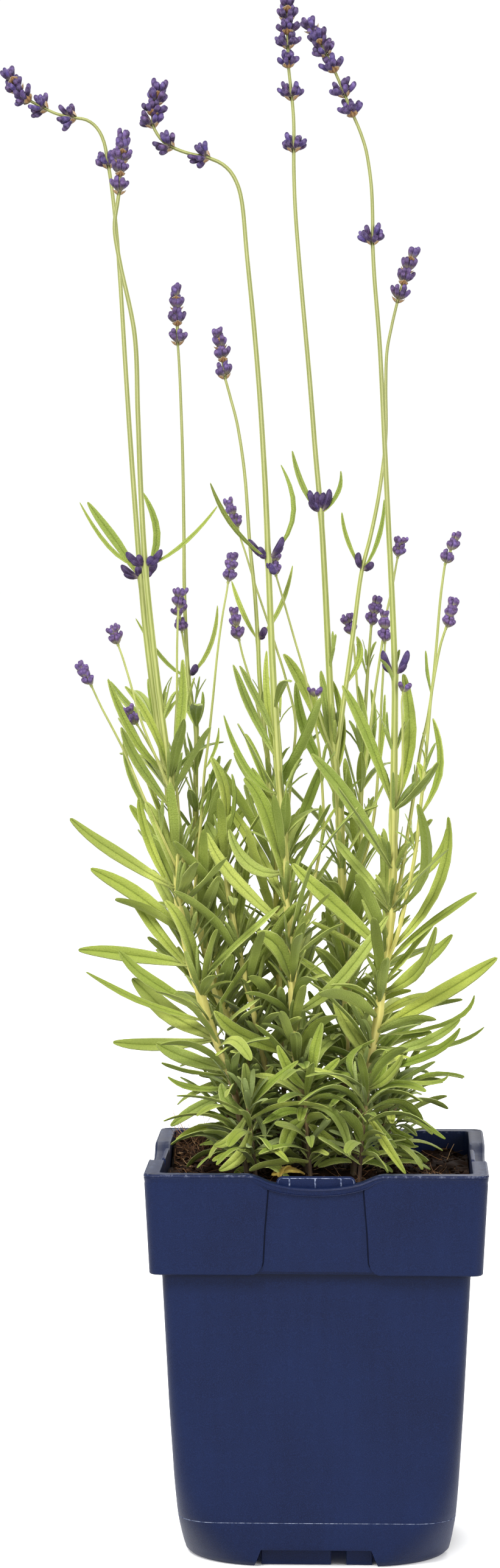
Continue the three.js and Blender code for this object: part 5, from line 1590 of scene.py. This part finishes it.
INSIDE_LEVELS = (FLOOR_TOP + 0.5, FLOOR_TOP + 1.6, 17.4, 25, 32, 46, 62, 86, 112, 130)
# Up over the tab: how far out, the corner's radius, and how far below the tab's top and
# below the rim beside it.
TAB_ROWS = (
    (0, 2.7, 0.35, 0.35), (0.1, 2.8, 0.1, 0.1), (0.35, 3.0, 0, 0), (1.15, 3.4, 0, 0),
    (1.4, 3.5, 0.1, 0), (1.5, 3.6, 0.35, 0),
)


def inside_rows():
    """The floor's top from its middle out, the wall's inside, the rim and the tab."""
    half, radius = wall_at(FLOOR_TOP + 3)
    edge = pot_row(half - WALL - 1.2, radius - WALL, FLOOR_TOP)
    rows = shrunk(edge, (0.2, 0.5, 0.8), FLOOR_TOP) + [edge]
    for z in INSIDE_LEVELS:
        half, radius = wall_at(z)
        rows.append(pot_row(half - WALL, radius - WALL, z))
    inner = wall_at(LIP_LEVEL)[0] - WALL
    rows.append(pot_row(inner, 2.7, 144))
    for out, radius, on_tab, beside in TAB_ROWS:
        rows.append(pot_row(inner + out, radius, lambda x, k: (
            tab_at(x) - (on_tab if abs(x) <= TAB_HALF else beside))))
    rows.append(pot_row(inner + 1.55, 3.6, lambda x, k: (
        rim_at(x) + (0.02 if abs(x) <= TAB_HALF else 0))))
    rows.append(rim_row(inner + 2.2, 3.8, 0))
    return rows


# The pot's plastic, its pale marks, and the painted shadow in the step round the middle panel.
PLASTIC, PALE_MARK, STEP_SHADOW = 0, 1, 2


def pot_shell():
    """The skin of the whole pot but for its drain holes, blocks and beads."""
    inside, collar = inside_rows(), collar_rows()
    rows = inside + collar + body_rows()
    count = len(rows[0])
    points = [p for row in rows for p in row]
    faces, kinds = [], []
    # The faces of the step round the middle panel are painted dark, as the shadow that falls in
    # that step.
    step_rows = range(len(inside) + len(LIP_ROWS), len(inside) + len(collar) - ROWS_PAST_STEP)
    for i in range(len(rows) - 1):
        for k in range(count):
            m = (k + 1) % count
            a, b = i * count, (i + 1) * count
            # The first rows run outward over the floor, so the skin's outside is on their left.
            faces.append((a + k, b + k, b + m, a + m))
            column = k % (2 * COLUMNS - 2) - COLUMNS + 2
            on_step = i in step_rows and column in (EDGE_IN, -EDGE_IN - 1)
            kinds.append(STEP_SHADOW if on_step else PLASTIC)
    middle_in, middle_out = len(points), len(points) + 1
    points += [(0, 0, rows[0][0][2]), (0, 0, rows[-1][0][2])]
    last = (len(rows) - 1) * count
    for k in range(count):
        m = (k + 1) % count
        faces.append((middle_in, k, m))
        faces.append((middle_out, last + m, last + k))
        kinds += [PLASTIC, PLASTIC]
    shell = Skin()
    shell.add(points, faces, PLASTIC)
    shell.kinds = kinds
    return shell


# The four drain holes: how far they are from the pot's middle lines, and their radius.
DRAIN_PLACE, DRAIN_RADIUS = 24, 4.5


def drilled(piece, finishes):
    """The skin of the pot's shell once its four drain holes are cut."""
    drill = Skin()
    for sx, sy in ((1, 1), (-1, 1), (-1, -1), (1, -1)):
        drill.loft([ring_round(DRAIN_PLACE * sx, DRAIN_PLACE * sy, DRAIN_RADIUS, z, 32)
                    for z in (3, 12)], PLASTIC)
    cutter = drill.piece("drill", finishes)
    cut = piece.modifiers.new("drain_holes", "BOOLEAN")
    cut.operation, cut.solver, cut.object = "DIFFERENCE", "EXACT", cutter
    bpy.context.view_layer.update()
    seen_by = bpy.context.evaluated_depsgraph_get()
    mesh = bpy.data.meshes.new_from_object(piece.evaluated_get(seen_by))
    skin = Skin()
    skin.add([tuple(c * 1000 for c in v.co) for v in mesh.vertices],
             [tuple(face.vertices) for face in mesh.polygons], PLASTIC)
    skin.kinds = [face.material_index for face in mesh.polygons]
    for spare in (cutter, piece):
        bpy.data.objects.remove(spare)
    return skin


def add_block(skin, low, high, kind, bevel):
    """A block with its edges eased, from its low to its high corner, on each of the pot's four
    sides. It is given on the front."""
    (x0, y0, z0), (x1, y1, z1) = low, high
    for c, s in QUARTER_TURNS:
        rings = []
        for z, inset in ((z0, bevel), (z0 + bevel, 0), (z1 - bevel, 0), (z1, bevel)):
            a0, a1, b0, b1 = x0 + inset, x1 - inset, y0 + inset, y1 - inset
            corners = [(a0 + bevel, b0), (a1 - bevel, b0), (a1, b0 + bevel), (a1, b1 - bevel),
                       (a1 - bevel, b1), (a0 + bevel, b1), (a0, b1 - bevel), (a0, b0 + bevel)]
            rings.append([(x * c - y * s, x * s + y * c, z) for x, y in corners])
        skin.loft(rings, kind)


def add_bead(skin, line, radius, kind, closed=False):
    """A thin moulded bead along a line of points."""
    frames = frames_along(line + line[:1] if closed else line)
    skin.loft([ring_at(frame, radius, 6) for frame in frames], kind)


# The middles of the three upright marks on each tab.
TAB_MARKS = (-10, -0.3, 9.4)
# The bars inside the foot, seen through the notches: where they start and end along a side,
# and their front and back.
FOOT_BARS = ((-21, 5.6), (11.4, 21.4))
BAR_FRONT, BAR_BACK = -46.7, -45.2
# The foot in the middle of the underside: the radius and height of its rings.
MIDDLE_FOOT = ((7.6, 0), (8, 0.4), (8, FLOOR_UNDERSIDE + 0.5))


def tab_outline():
    """The line of the bead round a tab's face, as (x, z)."""
    shoulder = [(-12.7 - 1.6 * cos(a), TAB_TOP - 2.35 + 1.6 * sin(a))
                for a in (0.2, 0.6, 1.0, 1.35, 1.57)]
    left = [(-14.3, LIP_LEVEL + 0.2)] + shoulder + [(-8, TAB_TOP - 0.75)]
    return left + [(0, TAB_TOP - 0.75)] + [(-x, z) for x, z in reversed(left)]


def under_rim(x, k):
    """The fine line under the rim's edge, which becomes the lip of the finger scoops."""
    return rim_at(x) - 1.5 - 1.2 * min(max((26.5 - abs(x)) / 7, 0), 1)


def pot(finishes):
    """The pot: its drilled shell with the tabs' marks, its moulded lines and its foot's bars."""
    skin = drilled(pot_shell().piece("pot_shell", finishes), finishes)
    front = -(wall_at(LIP_LEVEL)[0] - WALL + 1.5)
    for x in TAB_MARKS:
        add_block(skin, (x - 0.3, front - 0.3, 147.2), (x + 0.3, front + 0.3, TAB_TOP - 0.7),
                  PALE_MARK, 0.1)
    for c, s in QUARTER_TURNS:
        line = [(x * c - front * s, x * s + front * c, z) for x, z in tab_outline()]
        add_bead(skin, line, 0.17, PALE_MARK)
    line = pot_row(collar_half(150.6) - 0.02, 4.2, under_rim)
    add_bead(skin, line, 0.15, PLASTIC, closed=True)
    half, radius = wall_at(LINE_LEVEL)
    add_bead(skin, pot_row(half - 0.06, radius, LINE_LEVEL), 0.13, PALE_MARK, closed=True)
    for x0, x1 in FOOT_BARS:
        add_block(skin, (x0, BAR_FRONT, 0), (x1, BAR_BACK, FLOOR_UNDERSIDE + 0.5), PLASTIC, 0.25)
    skin.loft([ring_round(0, 0, r, z, 40) for r, z in MIDDLE_FOOT], PLASTIC)
    piece = skin.piece("square_pot", finishes, sharp=38)
    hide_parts("pot")


# ---- the peat


def noise_at(x, y, grain, seed):
    """Smooth repeatable noise between -1 and 1 over a plane, with lumps of a grain's size."""
    u, v = x / grain, y / grain
    i, j = np.floor(u), np.floor(v)
    fu, fv = u - i, v - j
    fu, fv = fu * fu * (3 - 2 * fu), fv * fv * (3 - 2 * fv)

    def at(a, b):
        n = np.sin(a * 127.1 + b * 311.7 + seed * 74.7) * 43758.5453
        return 2 * (n - np.floor(n)) - 1

    return ((at(i, j) * (1 - fu) + at(i + 1, j) * fu) * (1 - fv)
            + (at(i, j + 1) * (1 - fu) + at(i + 1, j + 1) * fu) * fv)


def peat_height(x, y):
    rough = (1.1 * noise_at(x, y, 6.3, 1) + 0.8 * noise_at(x, y, 2.9, 2)
             + 0.45 * noise_at(x, y, 1.5, 3))
    return peat_top(x, y) + rough


def ground_at(x, y):
    """The height of the rough peat at one place."""
    return float(peat_height(np.float64(x), np.float64(y)))


CRUMB, FIBRE, PALE = 0, 1, 2
PEAT_STEPS = 104
PEAT_CORNER = 2.6
# The block's top stays under the first height, and near its edge under the second.
PEAT_TOP, PEAT_EDGE_TOP = 153.0, 149.0
# The levels of its sides, which follow the inside of the pot.
PEAT_LEVELS = (124, 112, 62, 32, 17.4, 8.75)


def add_peat_block(skin):
    half = wall_at(SOIL_TOP)[0] - (WALL + 0.25)
    flat = half - PEAT_CORNER
    axis = np.linspace(-half, half, PEAT_STEPS + 1)
    gx, gy = np.meshgrid(axis, axis)
    # The grid's corners are drawn in so that they follow the pot's rounded corners.
    ox, oy = np.abs(gx) - flat, np.abs(gy) - flat
    far = np.hypot(np.maximum(ox, 0), np.maximum(oy, 0))
    outside = (ox > 0) & (oy > 0) & (far > PEAT_CORNER)
    pull = np.where(outside, PEAT_CORNER / np.maximum(far, 1e-9), 1.0)
    px = np.where(pull < 1, np.sign(gx) * (flat + ox * pull), gx)
    py = np.where(pull < 1, np.sign(gy) * (flat + oy * pull), gy)
    pz = np.minimum(peat_height(px, py), PEAT_TOP)
    edge = np.maximum(np.abs(px), np.abs(py))
    pz = np.where(edge > half - 0.5, np.minimum(pz, PEAT_EDGE_TOP), pz)
    points = list(zip(px.ravel().tolist(), py.ravel().tolist(), pz.ravel().tolist()))
    n = PEAT_STEPS + 1
    faces = [(j * n + i, j * n + i + 1, (j + 1) * n + i + 1, (j + 1) * n + i)
             for j in range(PEAT_STEPS) for i in range(PEAT_STEPS)]
    rim = (list(range(n)) + [j * n + n - 1 for j in range(1, n)]
           + [(n - 1) * n + k for k in range(n - 2, -1, -1)] + [j * n for j in range(n - 2, 0, -1)])
    m = len(rim)
    upper = rim
    for z in PEAT_LEVELS:
        wall, radius = wall_at(z)
        wall -= WALL + 0.5
        radius = max(radius - WALL, 2.0)
        lower = list(range(len(points), len(points) + m))
        for r in rim:
            x, y = points[r][0] * wall / half, points[r][1] * wall / half
            ex, ey = abs(x) - (wall - radius), abs(y) - (wall - radius)
            if ex > 0 and ey > 0 and hypot(ex, ey) > radius:
                share = radius / hypot(ex, ey)
                x = copysign(wall - radius + ex * share, x)
                y = copysign(wall - radius + ey * share, y)
            points.append((x, y, z))
        faces += [(upper[k], lower[k], lower[(k + 1) % m], upper[(k + 1) % m]) for k in range(m)]
        upper = lower
    faces.append(tuple(reversed(upper)))
    skin.add(points, faces, CRUMB)


def add_crumb(skin, draw):
    """A loose lump somewhere on the peat."""
    x, y = 57 * draw(), 57 * draw()
    r = 0.45 + 0.5 * abs(draw()) + (1.0 * abs(draw()) if draw() > 0.7 else 0)
    z = ground_at(x, y) + 0.25 * r
    rings = [[(x, y, z - r * 0.7)]]
    for level, share in ((-0.35, 0.85), (0.3, 0.9)):
        rings.append([(x + r * share * (1 + 0.3 * draw()) * cos(a),
                       y + r * share * (1 + 0.3 * draw()) * sin(a),
                       z + r * level * (1 + 0.3 * draw())) for a in circle(5)])
    rings.append([(x, y, z + r * 0.75)])
    skin.loft(rings, CRUMB, tint=draw())


FIBRE_STEPS = 6
# How far from the pot's middle lines a fibre may lie, inside the rim and above it.
INSIDE_REACH, OUTSIDE_REACH = 57.5, 75


def add_fibre(skin, x, y, length, draw, radius, rising, bearing=None):
    """A thread of root or straw that lies on the peat or rises from it."""
    turn = radians(bearing) if bearing is not None else pi * draw()
    at = (x, y, ground_at(x, y) + 0.1)
    points = [at]
    for _ in range(FIBRE_STEPS):
        turn += 0.45 * draw()
        rising += 0.22 * draw()
        way = (cos(turn) * cos(rising), sin(turn) * cos(rising),
               sin(rising))
        x, y, z = plus(at, way, length / FIBRE_STEPS)
        limit = INSIDE_REACH if z < POT_HEIGHT + 0.4 else OUTSIDE_REACH
        ground = ground_at(x, y) - 0.15
        at = (min(max(x, -limit), limit), min(max(y, -limit), limit), max(z, ground))
        points.append(at)
    rings = [ring_at(line, radius * (1 - 0.5 * i / FIBRE_STEPS), 4)
             for i, line in enumerate(frames_along(points))]
    skin.loft(rings, FIBRE if draw() < 0.6 else PALE, tint=draw())


CRUMBS, FIBRES = 1500, 680
# The hair-like roots that stand out of the heap in the back left corner, and two more: their
# place, bearing and length.
HAIRS = [
    (-55, 44, 150, 13), (-54, 50, 170, 11), (-50, 40, 120, 12), (-56, 38, 205, 9),
    (-47, 47, 95, 12), (-52, 30, 190, 10), (-44, 38, 60, 11), (50, 20, 20, 8), (46, -20, -30, 7),
]


def peat(finishes):
    """The peat with its crumbs and fibres, of which each third lies in the heap."""
    skin = Skin()
    add_peat_block(skin)
    draw = lottery(3301)
    for _ in range(CRUMBS):
        add_crumb(skin, draw)
    for i in range(FIBRES):
        x, y = 55 * draw(), 55 * draw()
        steeper = 0
        if i % 3 == 0:
            x, y = -46 + 11 * draw(), 38 + 16 * draw()
            steeper = 0.25
        add_fibre(skin, x, y, 3.5 + 7 * abs(draw()), draw, 0.09 + 0.1 * abs(draw()),
                  0.35 * abs(draw()) + steeper)
    for x, y, bearing, length in HAIRS:
        add_fibre(skin, x, y, length, draw, 0.13, 0.95, bearing)
    piece = skin.piece("peat_bed", finishes, sharp=70)
    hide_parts("peat")


# ---- finishes


class Field:
    """A number, colour or direction at every point of a surface, made of shader nodes."""

    def __init__(self, nodes, socket):
        self.nodes, self.socket = nodes, socket

    def _math(self, operation, a, b=None):
        return self.nodes.node("ShaderNodeMath", {"operation": operation}, **{"0": a, "1": b})

    __add__ = lambda a, b: a._math("ADD", a, b)
    __sub__ = lambda a, b: a._math("SUBTRACT", a, b)
    __mul__ = lambda a, b: a._math("MULTIPLY", a, b)
    __radd__ = lambda a, b: a._math("ADD", b, a)
    __rsub__ = lambda a, b: a._math("SUBTRACT", b, a)
    __rmul__ = lambda a, b: a._math("MULTIPLY", b, a)

    def __abs__(self):
        return self._math("ABSOLUTE", self)

    def sin(self):
        return self._math("SINE", self)

    def step(self, low, high):
        """Nought below low, one above high, and smooth between."""
        return self.nodes.node("ShaderNodeMapRange", {"interpolation_type": "SMOOTHSTEP"},
                               Value=self, **{"From Min": low, "From Max": high})

    def mixed(self, dark, light):
        """From the dark colour to the light one as this goes from nought to one. A Mix node's
        factor and colours are its sockets 0, 6 and 7, and its colour comes out of socket 2."""
        return self.nodes.node("ShaderNodeMix", {"data_type": "RGBA"}, out=2,
                               **{"0": self, "6": dark, "7": light})


def srgb(r, g, b):
    """A colour of 0 to 255 as it looks on a screen, in linear light."""
    return tuple((c / 12.92 if c <= 0.04045 else ((c + 0.055) / 1.055) ** 2.4)
                 for c in (r / 255, g / 255, b / 255)) + (1.0,)


class Nodes:
    """The node tree of a finish, or of the studio's walls."""

    def __init__(self, tree):
        self.tree = tree

    def node(self, kind, settings=None, out=0, **inputs):
        """A new node of a kind, with its settings and the values or links of its sockets."""
        made = self.tree.nodes.new(kind)
        for name, value in (settings or {}).items():
            setattr(made, name, value)
        for name, value in inputs.items():
            if value is None:
                continue
            socket = made.inputs[int(name) if name.isdigit() else name]
            if isinstance(value, Field):
                self.tree.links.new(value.socket, socket)
            else:
                socket.default_value = value
        return Field(self, made.outputs[out])


class Finish(Nodes):
    """One material, with its surface shader and its colour as far as it is laid."""

    def __init__(self, name, **constants):
        self.material = bpy.data.materials.new(name)
        self.material.use_nodes = True
        super().__init__(self.material.node_tree)
        self.surface = self.tree.nodes["Principled BSDF"]
        for socket, value in constants.items():
            self.surface.inputs[socket.replace("_", " ")].default_value = value
        self.colour = None

    def mark(self, name):
        return self.node("ShaderNodeAttribute", {"attribute_name": name}, out="Fac")

    def place(self):
        return self.node("ShaderNodeTexCoord", out="Object")

    def height(self):
        return self.node("ShaderNodeSeparateXYZ", out="Z", Vector=self.place())

    def stretched(self, x, y, z):
        return self.node("ShaderNodeVectorMath", {"operation": "MULTIPLY"},
                         **{"0": self.place(), "1": (x, y, z)})

    def noise(self, scale, detail, rough, at=None):
        return self.node("ShaderNodeTexNoise", Vector=at or self.place(), Scale=scale,
                         Detail=detail, Roughness=rough)

    def cells(self, scale):
        return self.node("ShaderNodeTexVoronoi", Vector=self.place(), Scale=scale)

    def lay(self, where, colour):
        """Lays a colour over what is there."""
        self.colour = where.mixed(self.colour,
                                  colour if isinstance(colour, Field) else srgb(*colour))

    def paint(self, socket, field):
        self.tree.links.new(field.socket, self.surface.inputs[socket])

    def done(self, roughness, relief, depth, strength):
        """The material, once its laid colour, its roughness and its bumps are joined up."""
        self.paint("Base Color", self.colour)
        self.paint("Roughness", roughness)
        self.paint("Normal", self.node("ShaderNodeBump", Strength=strength, Distance=depth,
                                       Height=relief))
        return self.material


def leaf_finish():
    f = Finish("felted_leaf", Sheen_Weight=0.1, Sheen_Roughness=0.5, Specular_IOR_Level=0.28)
    across, along, tint = f.mark("across"), f.mark("along"), f.mark("tint")
    height = f.height()
    side = abs(across)
    blotch = f.noise(160, 3, 0.6)
    fine = f.noise(1900, 2, 0.6)
    f.colour = (blotch * 0.7 + tint * 0.5).mixed(srgb(114, 140, 28), srgb(218, 226, 92))
    f.lay(f.noise(38, 1, 0.5).step(0.44, 0.62) * 0.4, (110, 134, 38))
    # Some leaves are paler and greyer than most, and some a fresher green.
    sort = (tint * 9).sin()
    f.lay(sort.step(0.1, 0.9) * 0.42, (166, 180, 104))
    f.lay((0 - sort).step(0.1, 0.9) * 0.5, (118, 144, 42))
    # The lowest leaves are darker, those a little above the pot yellower and the high ones
    # duller. Each blade is pale at its foot and a little at its tip.
    low = 1 - height.step(0.165, 0.235)
    f.lay(low * 0.3, (130, 140, 54))
    f.lay(height.step(0.17, 0.24) * (1 - height.step(0.255, 0.31)) * 0.36, (208, 216, 112))
    f.lay(height.step(0.25, 0.36) * 0.66, (140, 154, 72))
    f.lay((1 - along.step(0.0, 0.24)) * 0.6, (204, 206, 124))
    f.lay(along.step(0.86, 1.0) * 0.25, (190, 196, 112))
    # The mark across runs past one on a blade's underside.
    under = side.step(1.02, 1.1)
    top = 1 - under
    groove = (1 - side.step(0.03, 0.16)) * top
    f.lay(groove * 0.5, (100, 116, 32))
    margin = side.step(0.78, 0.97) * (1 - side.step(1.06, 1.2))
    f.lay(margin * (0.62 - height.step(0.3, 0.4) * 0.3), (208, 216, 132))
    f.lay(under * 0.4, (158, 174, 84))
    f.lay(fine.step(0.5, 0.72) * 0.18, (206, 212, 138))
    wrinkle = f.cells(2100)
    f.lay(wrinkle.step(0.35, 0.75) * 0.16, (78, 96, 22))
    speck = f.noise(1500, 1, 0.5).step(0.68, 0.74) * top
    f.lay(speck * 0.35, (64, 78, 24))
    f.lay((0 - f.mark("pale")) * (low * 0.35 + 0.12), (178, 192, 138))
    # Painted shade: leaves in the thick of the clump are darkened as if shaded by those round them,
    # and the outermost, where the light falls fully, are toned down to a fuller green.
    clump_shade = f.mark("clump_shade")
    f.lay((1 - clump_shade.step(0.05, 0.5)) * (1 - height.step(0.27, 0.33)) * 0.66, (116, 132, 42))
    f.lay(clump_shade.step(0.5, 1.15) * 0.42, (58, 70, 12))
    f.lay(f.mark("pale"), (blotch * 1.6 - 0.3).mixed(srgb(150, 104, 34), srgb(226, 204, 96)))
    return f.done(0.5 + fine * 0.25, fine * 0.4 - wrinkle * 0.6, 0.0003, 0.7)


def bark_finish():
    f = Finish("square_stem", Sheen_Weight=0.12, Specular_IOR_Level=0.35)
    tint, edge = f.mark("tint"), f.mark("across")
    height = f.height()
    streak = f.noise(1.0, 3, 0.6, f.stretched(900, 900, 45))
    patch = f.noise(75, 2, 0.5)
    fine = f.noise(2100, 2, 0.5)
    upper = (streak * 1.2 - 0.1 + tint * 0.12).mixed(srgb(146, 156, 72), srgb(204, 208, 124))
    lower = streak.mixed(srgb(208, 196, 96), srgb(238, 228, 140))
    f.colour = height.step(0.215, 0.34).mixed(lower, upper)
    f.lay(height.step(0.34, 0.45) * 0.85, streak.mixed(srgb(128, 132, 70), srgb(186, 186, 124)))
    groove = (1 - edge.step(0.76, 0.9)) * height.step(0.225, 0.3)
    f.lay(groove * 0.6, (106, 122, 48))
    woody = 1 - height.step(0.168, 0.212)
    f.lay(woody * 0.9, streak.mixed(srgb(74, 54, 34), srgb(120, 92, 58)))
    brown = (1 - height.step(0.15, 0.23)) * patch.step(0.46, 0.6)
    f.lay(brown * 0.75, (104, 62, 42))
    # Painted highlight: a pale line along the stem's corners, stronger higher up.
    f.lay(edge.step(0.86, 1.0) * (0.1 + height.step(0.2, 0.36) * 0.16), (218, 222, 166))
    # The foot is darkened almost to black-brown near the peat.
    f.lay((1 - height.step(0.15, 0.172)) * 0.75, (40, 27, 19))
    return f.done(0.5 + streak * 0.2, streak * 0.7 + fine * 0.3, 0.0003, 0.5)


def bud_finish():
    f = Finish("violet_calyx", Sheen_Weight=0.22, Sheen_Roughness=0.35, Specular_IOR_Level=0.25,
               Sheen_Tint=srgb(206, 196, 226))
    along, tint, rib = f.mark("along"), f.mark("tint"), f.mark("across")
    blotch = f.noise(560, 3, 0.6)
    fine = f.noise(5200, 1, 0.6)
    cool = (tint * 0.6 + 0.5).mixed(srgb(112, 74, 112), srgb(88, 72, 138))
    f.colour = (blotch * 3.0 - 1.1 + tint * 0.35).mixed(srgb(30, 16, 46), cool)
    # Painted highlight: a pale band round each calyx towards its tip.
    rim = along.step(0.6, 0.8) * (1 - along.step(0.86, 0.97))
    f.lay(rim * 0.3, (156, 138, 192))
    # Young calyxes are marked pale, and dark ones have a mark below nought.
    f.lay(f.mark("pale") * 0.5, (156, 118, 180))
    f.lay(f.mark("pale") * -0.8, (40, 24, 54))
    f.lay(blotch.step(0.3, 0.45) * (1 - blotch.step(0.5, 0.62)) * 0.3, (40, 18, 46))
    f.lay((1 - along.step(0.06, 0.46)) * 0.8, (158, 146, 126))
    f.lay(f.mark("pale") * (1 - along.step(0.2, 0.66)) * 1.4, (166, 162, 122))
    f.lay(along.step(0.86, 1.0) * 0.4, (58, 42, 92))
    f.lay(fine.step(0.5, 0.8) * 0.3, (150, 138, 186))
    f.lay((1 - rib.step(0.0, 0.5)) * 0.2, (128, 112, 164))
    return f.done(0.62 + fine * 0.2, fine * 0.5 + blotch * 0.5, 0.0004, 0.6)


def paper_finish():
    f = Finish("papery_bract", Sheen_Weight=0.15, Specular_IOR_Level=0.3)
    across, along, tint = f.mark("across"), f.mark("along"), f.mark("tint")
    vein = (across * 9.5 + 1.2).sin()
    f.colour = (vein * 0.4 + 0.5 + tint * 0.12).mixed(srgb(116, 76, 40), srgb(190, 150, 98))
    f.lay(along.step(0.7, 1.0) * 0.4, (104, 66, 50))
    f.lay((1 - along.step(0.0, 0.25)) * 0.5, (158, 150, 92))
    f.lay(abs(across).step(0.72, 1.0) * 0.6, (196, 186, 164))
    return f.done(0.6 + vein * 0.05, vein, 0.0002, 0.5)


def plastic_finish():
    f = Finish("moulded_plastic", Specular_IOR_Level=0.16)
    height = f.height()
    cloud = f.noise(26, 3, 0.5)
    grain = f.noise(3300, 1, 0.6)
    flow = f.noise(1.0, 2, 0.5, f.stretched(240, 240, 16))
    f.colour = (cloud * 1.4 + flow * 0.6 - 0.5).mixed(srgb(6, 16, 48), srgb(16, 30, 68))
    f.lay(grain.step(0.4, 0.7) * 0.42, (30, 48, 92))
    # Fine pale dust scratches, and scuffs on the edges of the rim.
    scratch = f.noise(1.0, 2, 0.7, f.stretched(1500, 1500, 90)).step(0.69, 0.78)
    f.lay(scratch * 0.035, (120, 132, 168))
    scuffs = height.step(0.1512, 0.1522) * f.noise(520, 3, 0.7).step(0.5, 0.66)
    f.lay(scuffs * 0.26, (168, 176, 198))
    # Painted shade: the wall is darkened where the collar's foot shades it.
    collar_shade = height.step(0.1115, 0.1136) * (1 - height.step(0.1138, 0.1142))
    f.lay(collar_shade * 0.5, (5, 10, 28))
    return f.done(0.36 + cloud * 0.08 + grain * 0.06 + scuffs * 0.2, grain * 0.8 + flow * 0.2,
                  0.00016, 0.8)


# The tabs' marks and beads and the fine line round the wall are laid a patchy pale blue-grey over
# navy.
def pale_mark_finish():
    f = Finish("pale_plastic_mark", Specular_IOR_Level=0.25)
    rub = f.noise(900, 3, 0.6)
    f.colour = rub.step(0.35, 0.7).mixed(srgb(44, 58, 96), srgb(150, 160, 186))
    return f.done(0.5 + rub * 0.2, rub, 0.0001, 0.5)


# Painted shadow: a dark navy laid on the step round the middle panel, where shade falls.
def step_shadow_finish():
    f = Finish("painted_step_shadow", Specular_IOR_Level=0.1)
    rub = f.noise(700, 3, 0.6)
    f.colour = rub.mixed(srgb(3, 6, 20), srgb(16, 24, 50))
    return f.done(0.55 + rub * 0.2, rub, 0.0001, 0.4)


def crumb_finish():
    f = Finish("peat_crumb", Specular_IOR_Level=0.1)
    tint = f.mark("tint")
    lump, fine = f.noise(210, 4, 0.65), f.noise(1500, 3, 0.6)
    f.colour = (lump * 1.5 - 0.25 + tint * 0.3).mixed(srgb(9, 6, 4), srgb(50, 31, 20))
    f.lay(fine.step(0.58, 0.72) * 0.26, (104, 70, 46))
    return f.done(0.8 + fine * 0.15, lump * 0.5 + fine * 0.5, 0.0007, 0.8)


def fibre_finish(name, dark, light):
    f = Finish(name, Specular_IOR_Level=0.3)
    fine, tint = f.noise(900, 2, 0.5), f.mark("tint")
    f.colour = (fine + tint * 0.3).mixed(dark, light)
    return f.done(0.7 + fine * 0.15, fine, 0.0001, 0.4)


def floor_finish():
    f = Finish("studio_floor", Specular_IOR_Level=0.2, Emission_Strength=0.52)
    grain = f.noise(60, 3, 0.5)
    f.paint("Base Color", grain.mixed((0.93, 0.93, 0.925, 1), (0.945, 0.945, 0.94, 1)))
    # The glow of the floor stops under the object that stands on it, which paints a shadow there.
    away = f.node("ShaderNodeVectorMath", {"operation": "LENGTH"}, out="Value",
                  **{"0": f.place()})
    f.paint("Emission Color", away.step(0.046, 0.066).mixed((0, 0, 0, 1), (1, 1, 1, 1)))
    f.paint("Roughness", 0.8 + grain * 0.1)
    return f.material


# ---- the studio

LENS, FILM_WIDTH = 101.25, 36
# How far the camera looks down, and how far it is turned left, in degrees.
LOOKS_DOWN, LOOKS_LEFT = 3.376, 1.88
FLOOR_RADIUS, FLOOR_SIDES = 24, 64
# Each lamp's place and size in metres and its power in watts, and the point they all face.
LAMPS = [
    ("key", (-0.9, -1.7, 2.3), 1.0, 84), ("fill", (1.9, -1.3, 0.9), 1.6, 20),
    ("back", (0.7, 1.9, 1.7), 1.3, 30),
]
LAMPS_FACE = (0, 0, 0.28)


def camera_of_photo():
    lens = bpy.data.cameras.new("photo_camera")
    lens.sensor_fit, lens.sensor_width, lens.lens = "AUTO", FILM_WIDTH, LENS
    lens.clip_start, lens.clip_end = 0.1, 60
    camera = stood("photo_camera", lens)
    camera.location = tuple(c / 1000 for c in EYE)
    camera.rotation_euler = (radians(90 - LOOKS_DOWN), 0, radians(LOOKS_LEFT))
    bpy.context.scene.camera = camera


def studio_floor():
    mesh = bpy.data.meshes.new("floor")
    mesh.from_pydata(ring_round(0, 0, FLOOR_RADIUS, 0, FLOOR_SIDES), [],
                     [tuple(range(FLOOR_SIDES))])
    mesh.materials.append(floor_finish())
    disc = stood("floor", mesh)
    disc.visible_diffuse = False


def studio_walls():
    """White walls all round. The ceiling and what lies under the floor are dimmer, and leave
    the modelling to the lamps."""
    world = bpy.data.worlds.new("studio")
    world.use_nodes = True
    nodes = Nodes(world.node_tree)
    way = nodes.node("ShaderNodeTexCoord", out="Generated")
    up = nodes.node("ShaderNodeSeparateXYZ", out="Z", Vector=way)
    glow = nodes.node("ShaderNodeMapRange", {"interpolation_type": "SMOOTHSTEP"}, Value=abs(up),
                      **{"From Min": 0.2, "From Max": 0.55, "To Min": 1.03, "To Max": 0.42})
    background = world.node_tree.nodes["Background"]
    background.inputs["Color"].default_value = (1.0, 1.0, 1.0, 1)
    world.node_tree.links.new(glow.socket, background.inputs["Strength"])
    bpy.context.scene.world = world
    bpy.context.scene.view_settings.view_transform = "Standard"


def lamps():
    for name, place, size, power in LAMPS:
        lamp = bpy.data.lights.new(name, "AREA")
        lamp.shape, lamp.size, lamp.energy = "SQUARE", size, power
        light = stood(name, lamp)
        light.location = place
        aim = Vector(LAMPS_FACE) - Vector(place)
        light.rotation_euler = aim.to_track_quat("-Z", "Y").to_euler()


camera_of_photo()
studio_floor()
studio_walls()
lamps()
greens = [leaf_finish(), bark_finish(), bud_finish(), paper_finish()]
for owner, stem in plant.items():
    foliage(owner, stem, greens)
    flowers(owner, stem, greens)
pot([plastic_finish(), pale_mark_finish(), step_shadow_finish()])
peat([crumb_finish(),
      fibre_finish("root_fibre", srgb(60, 40, 26), srgb(138, 98, 62)),
      fibre_finish("straw_fibre", srgb(160, 116, 76), srgb(208, 172, 130))])
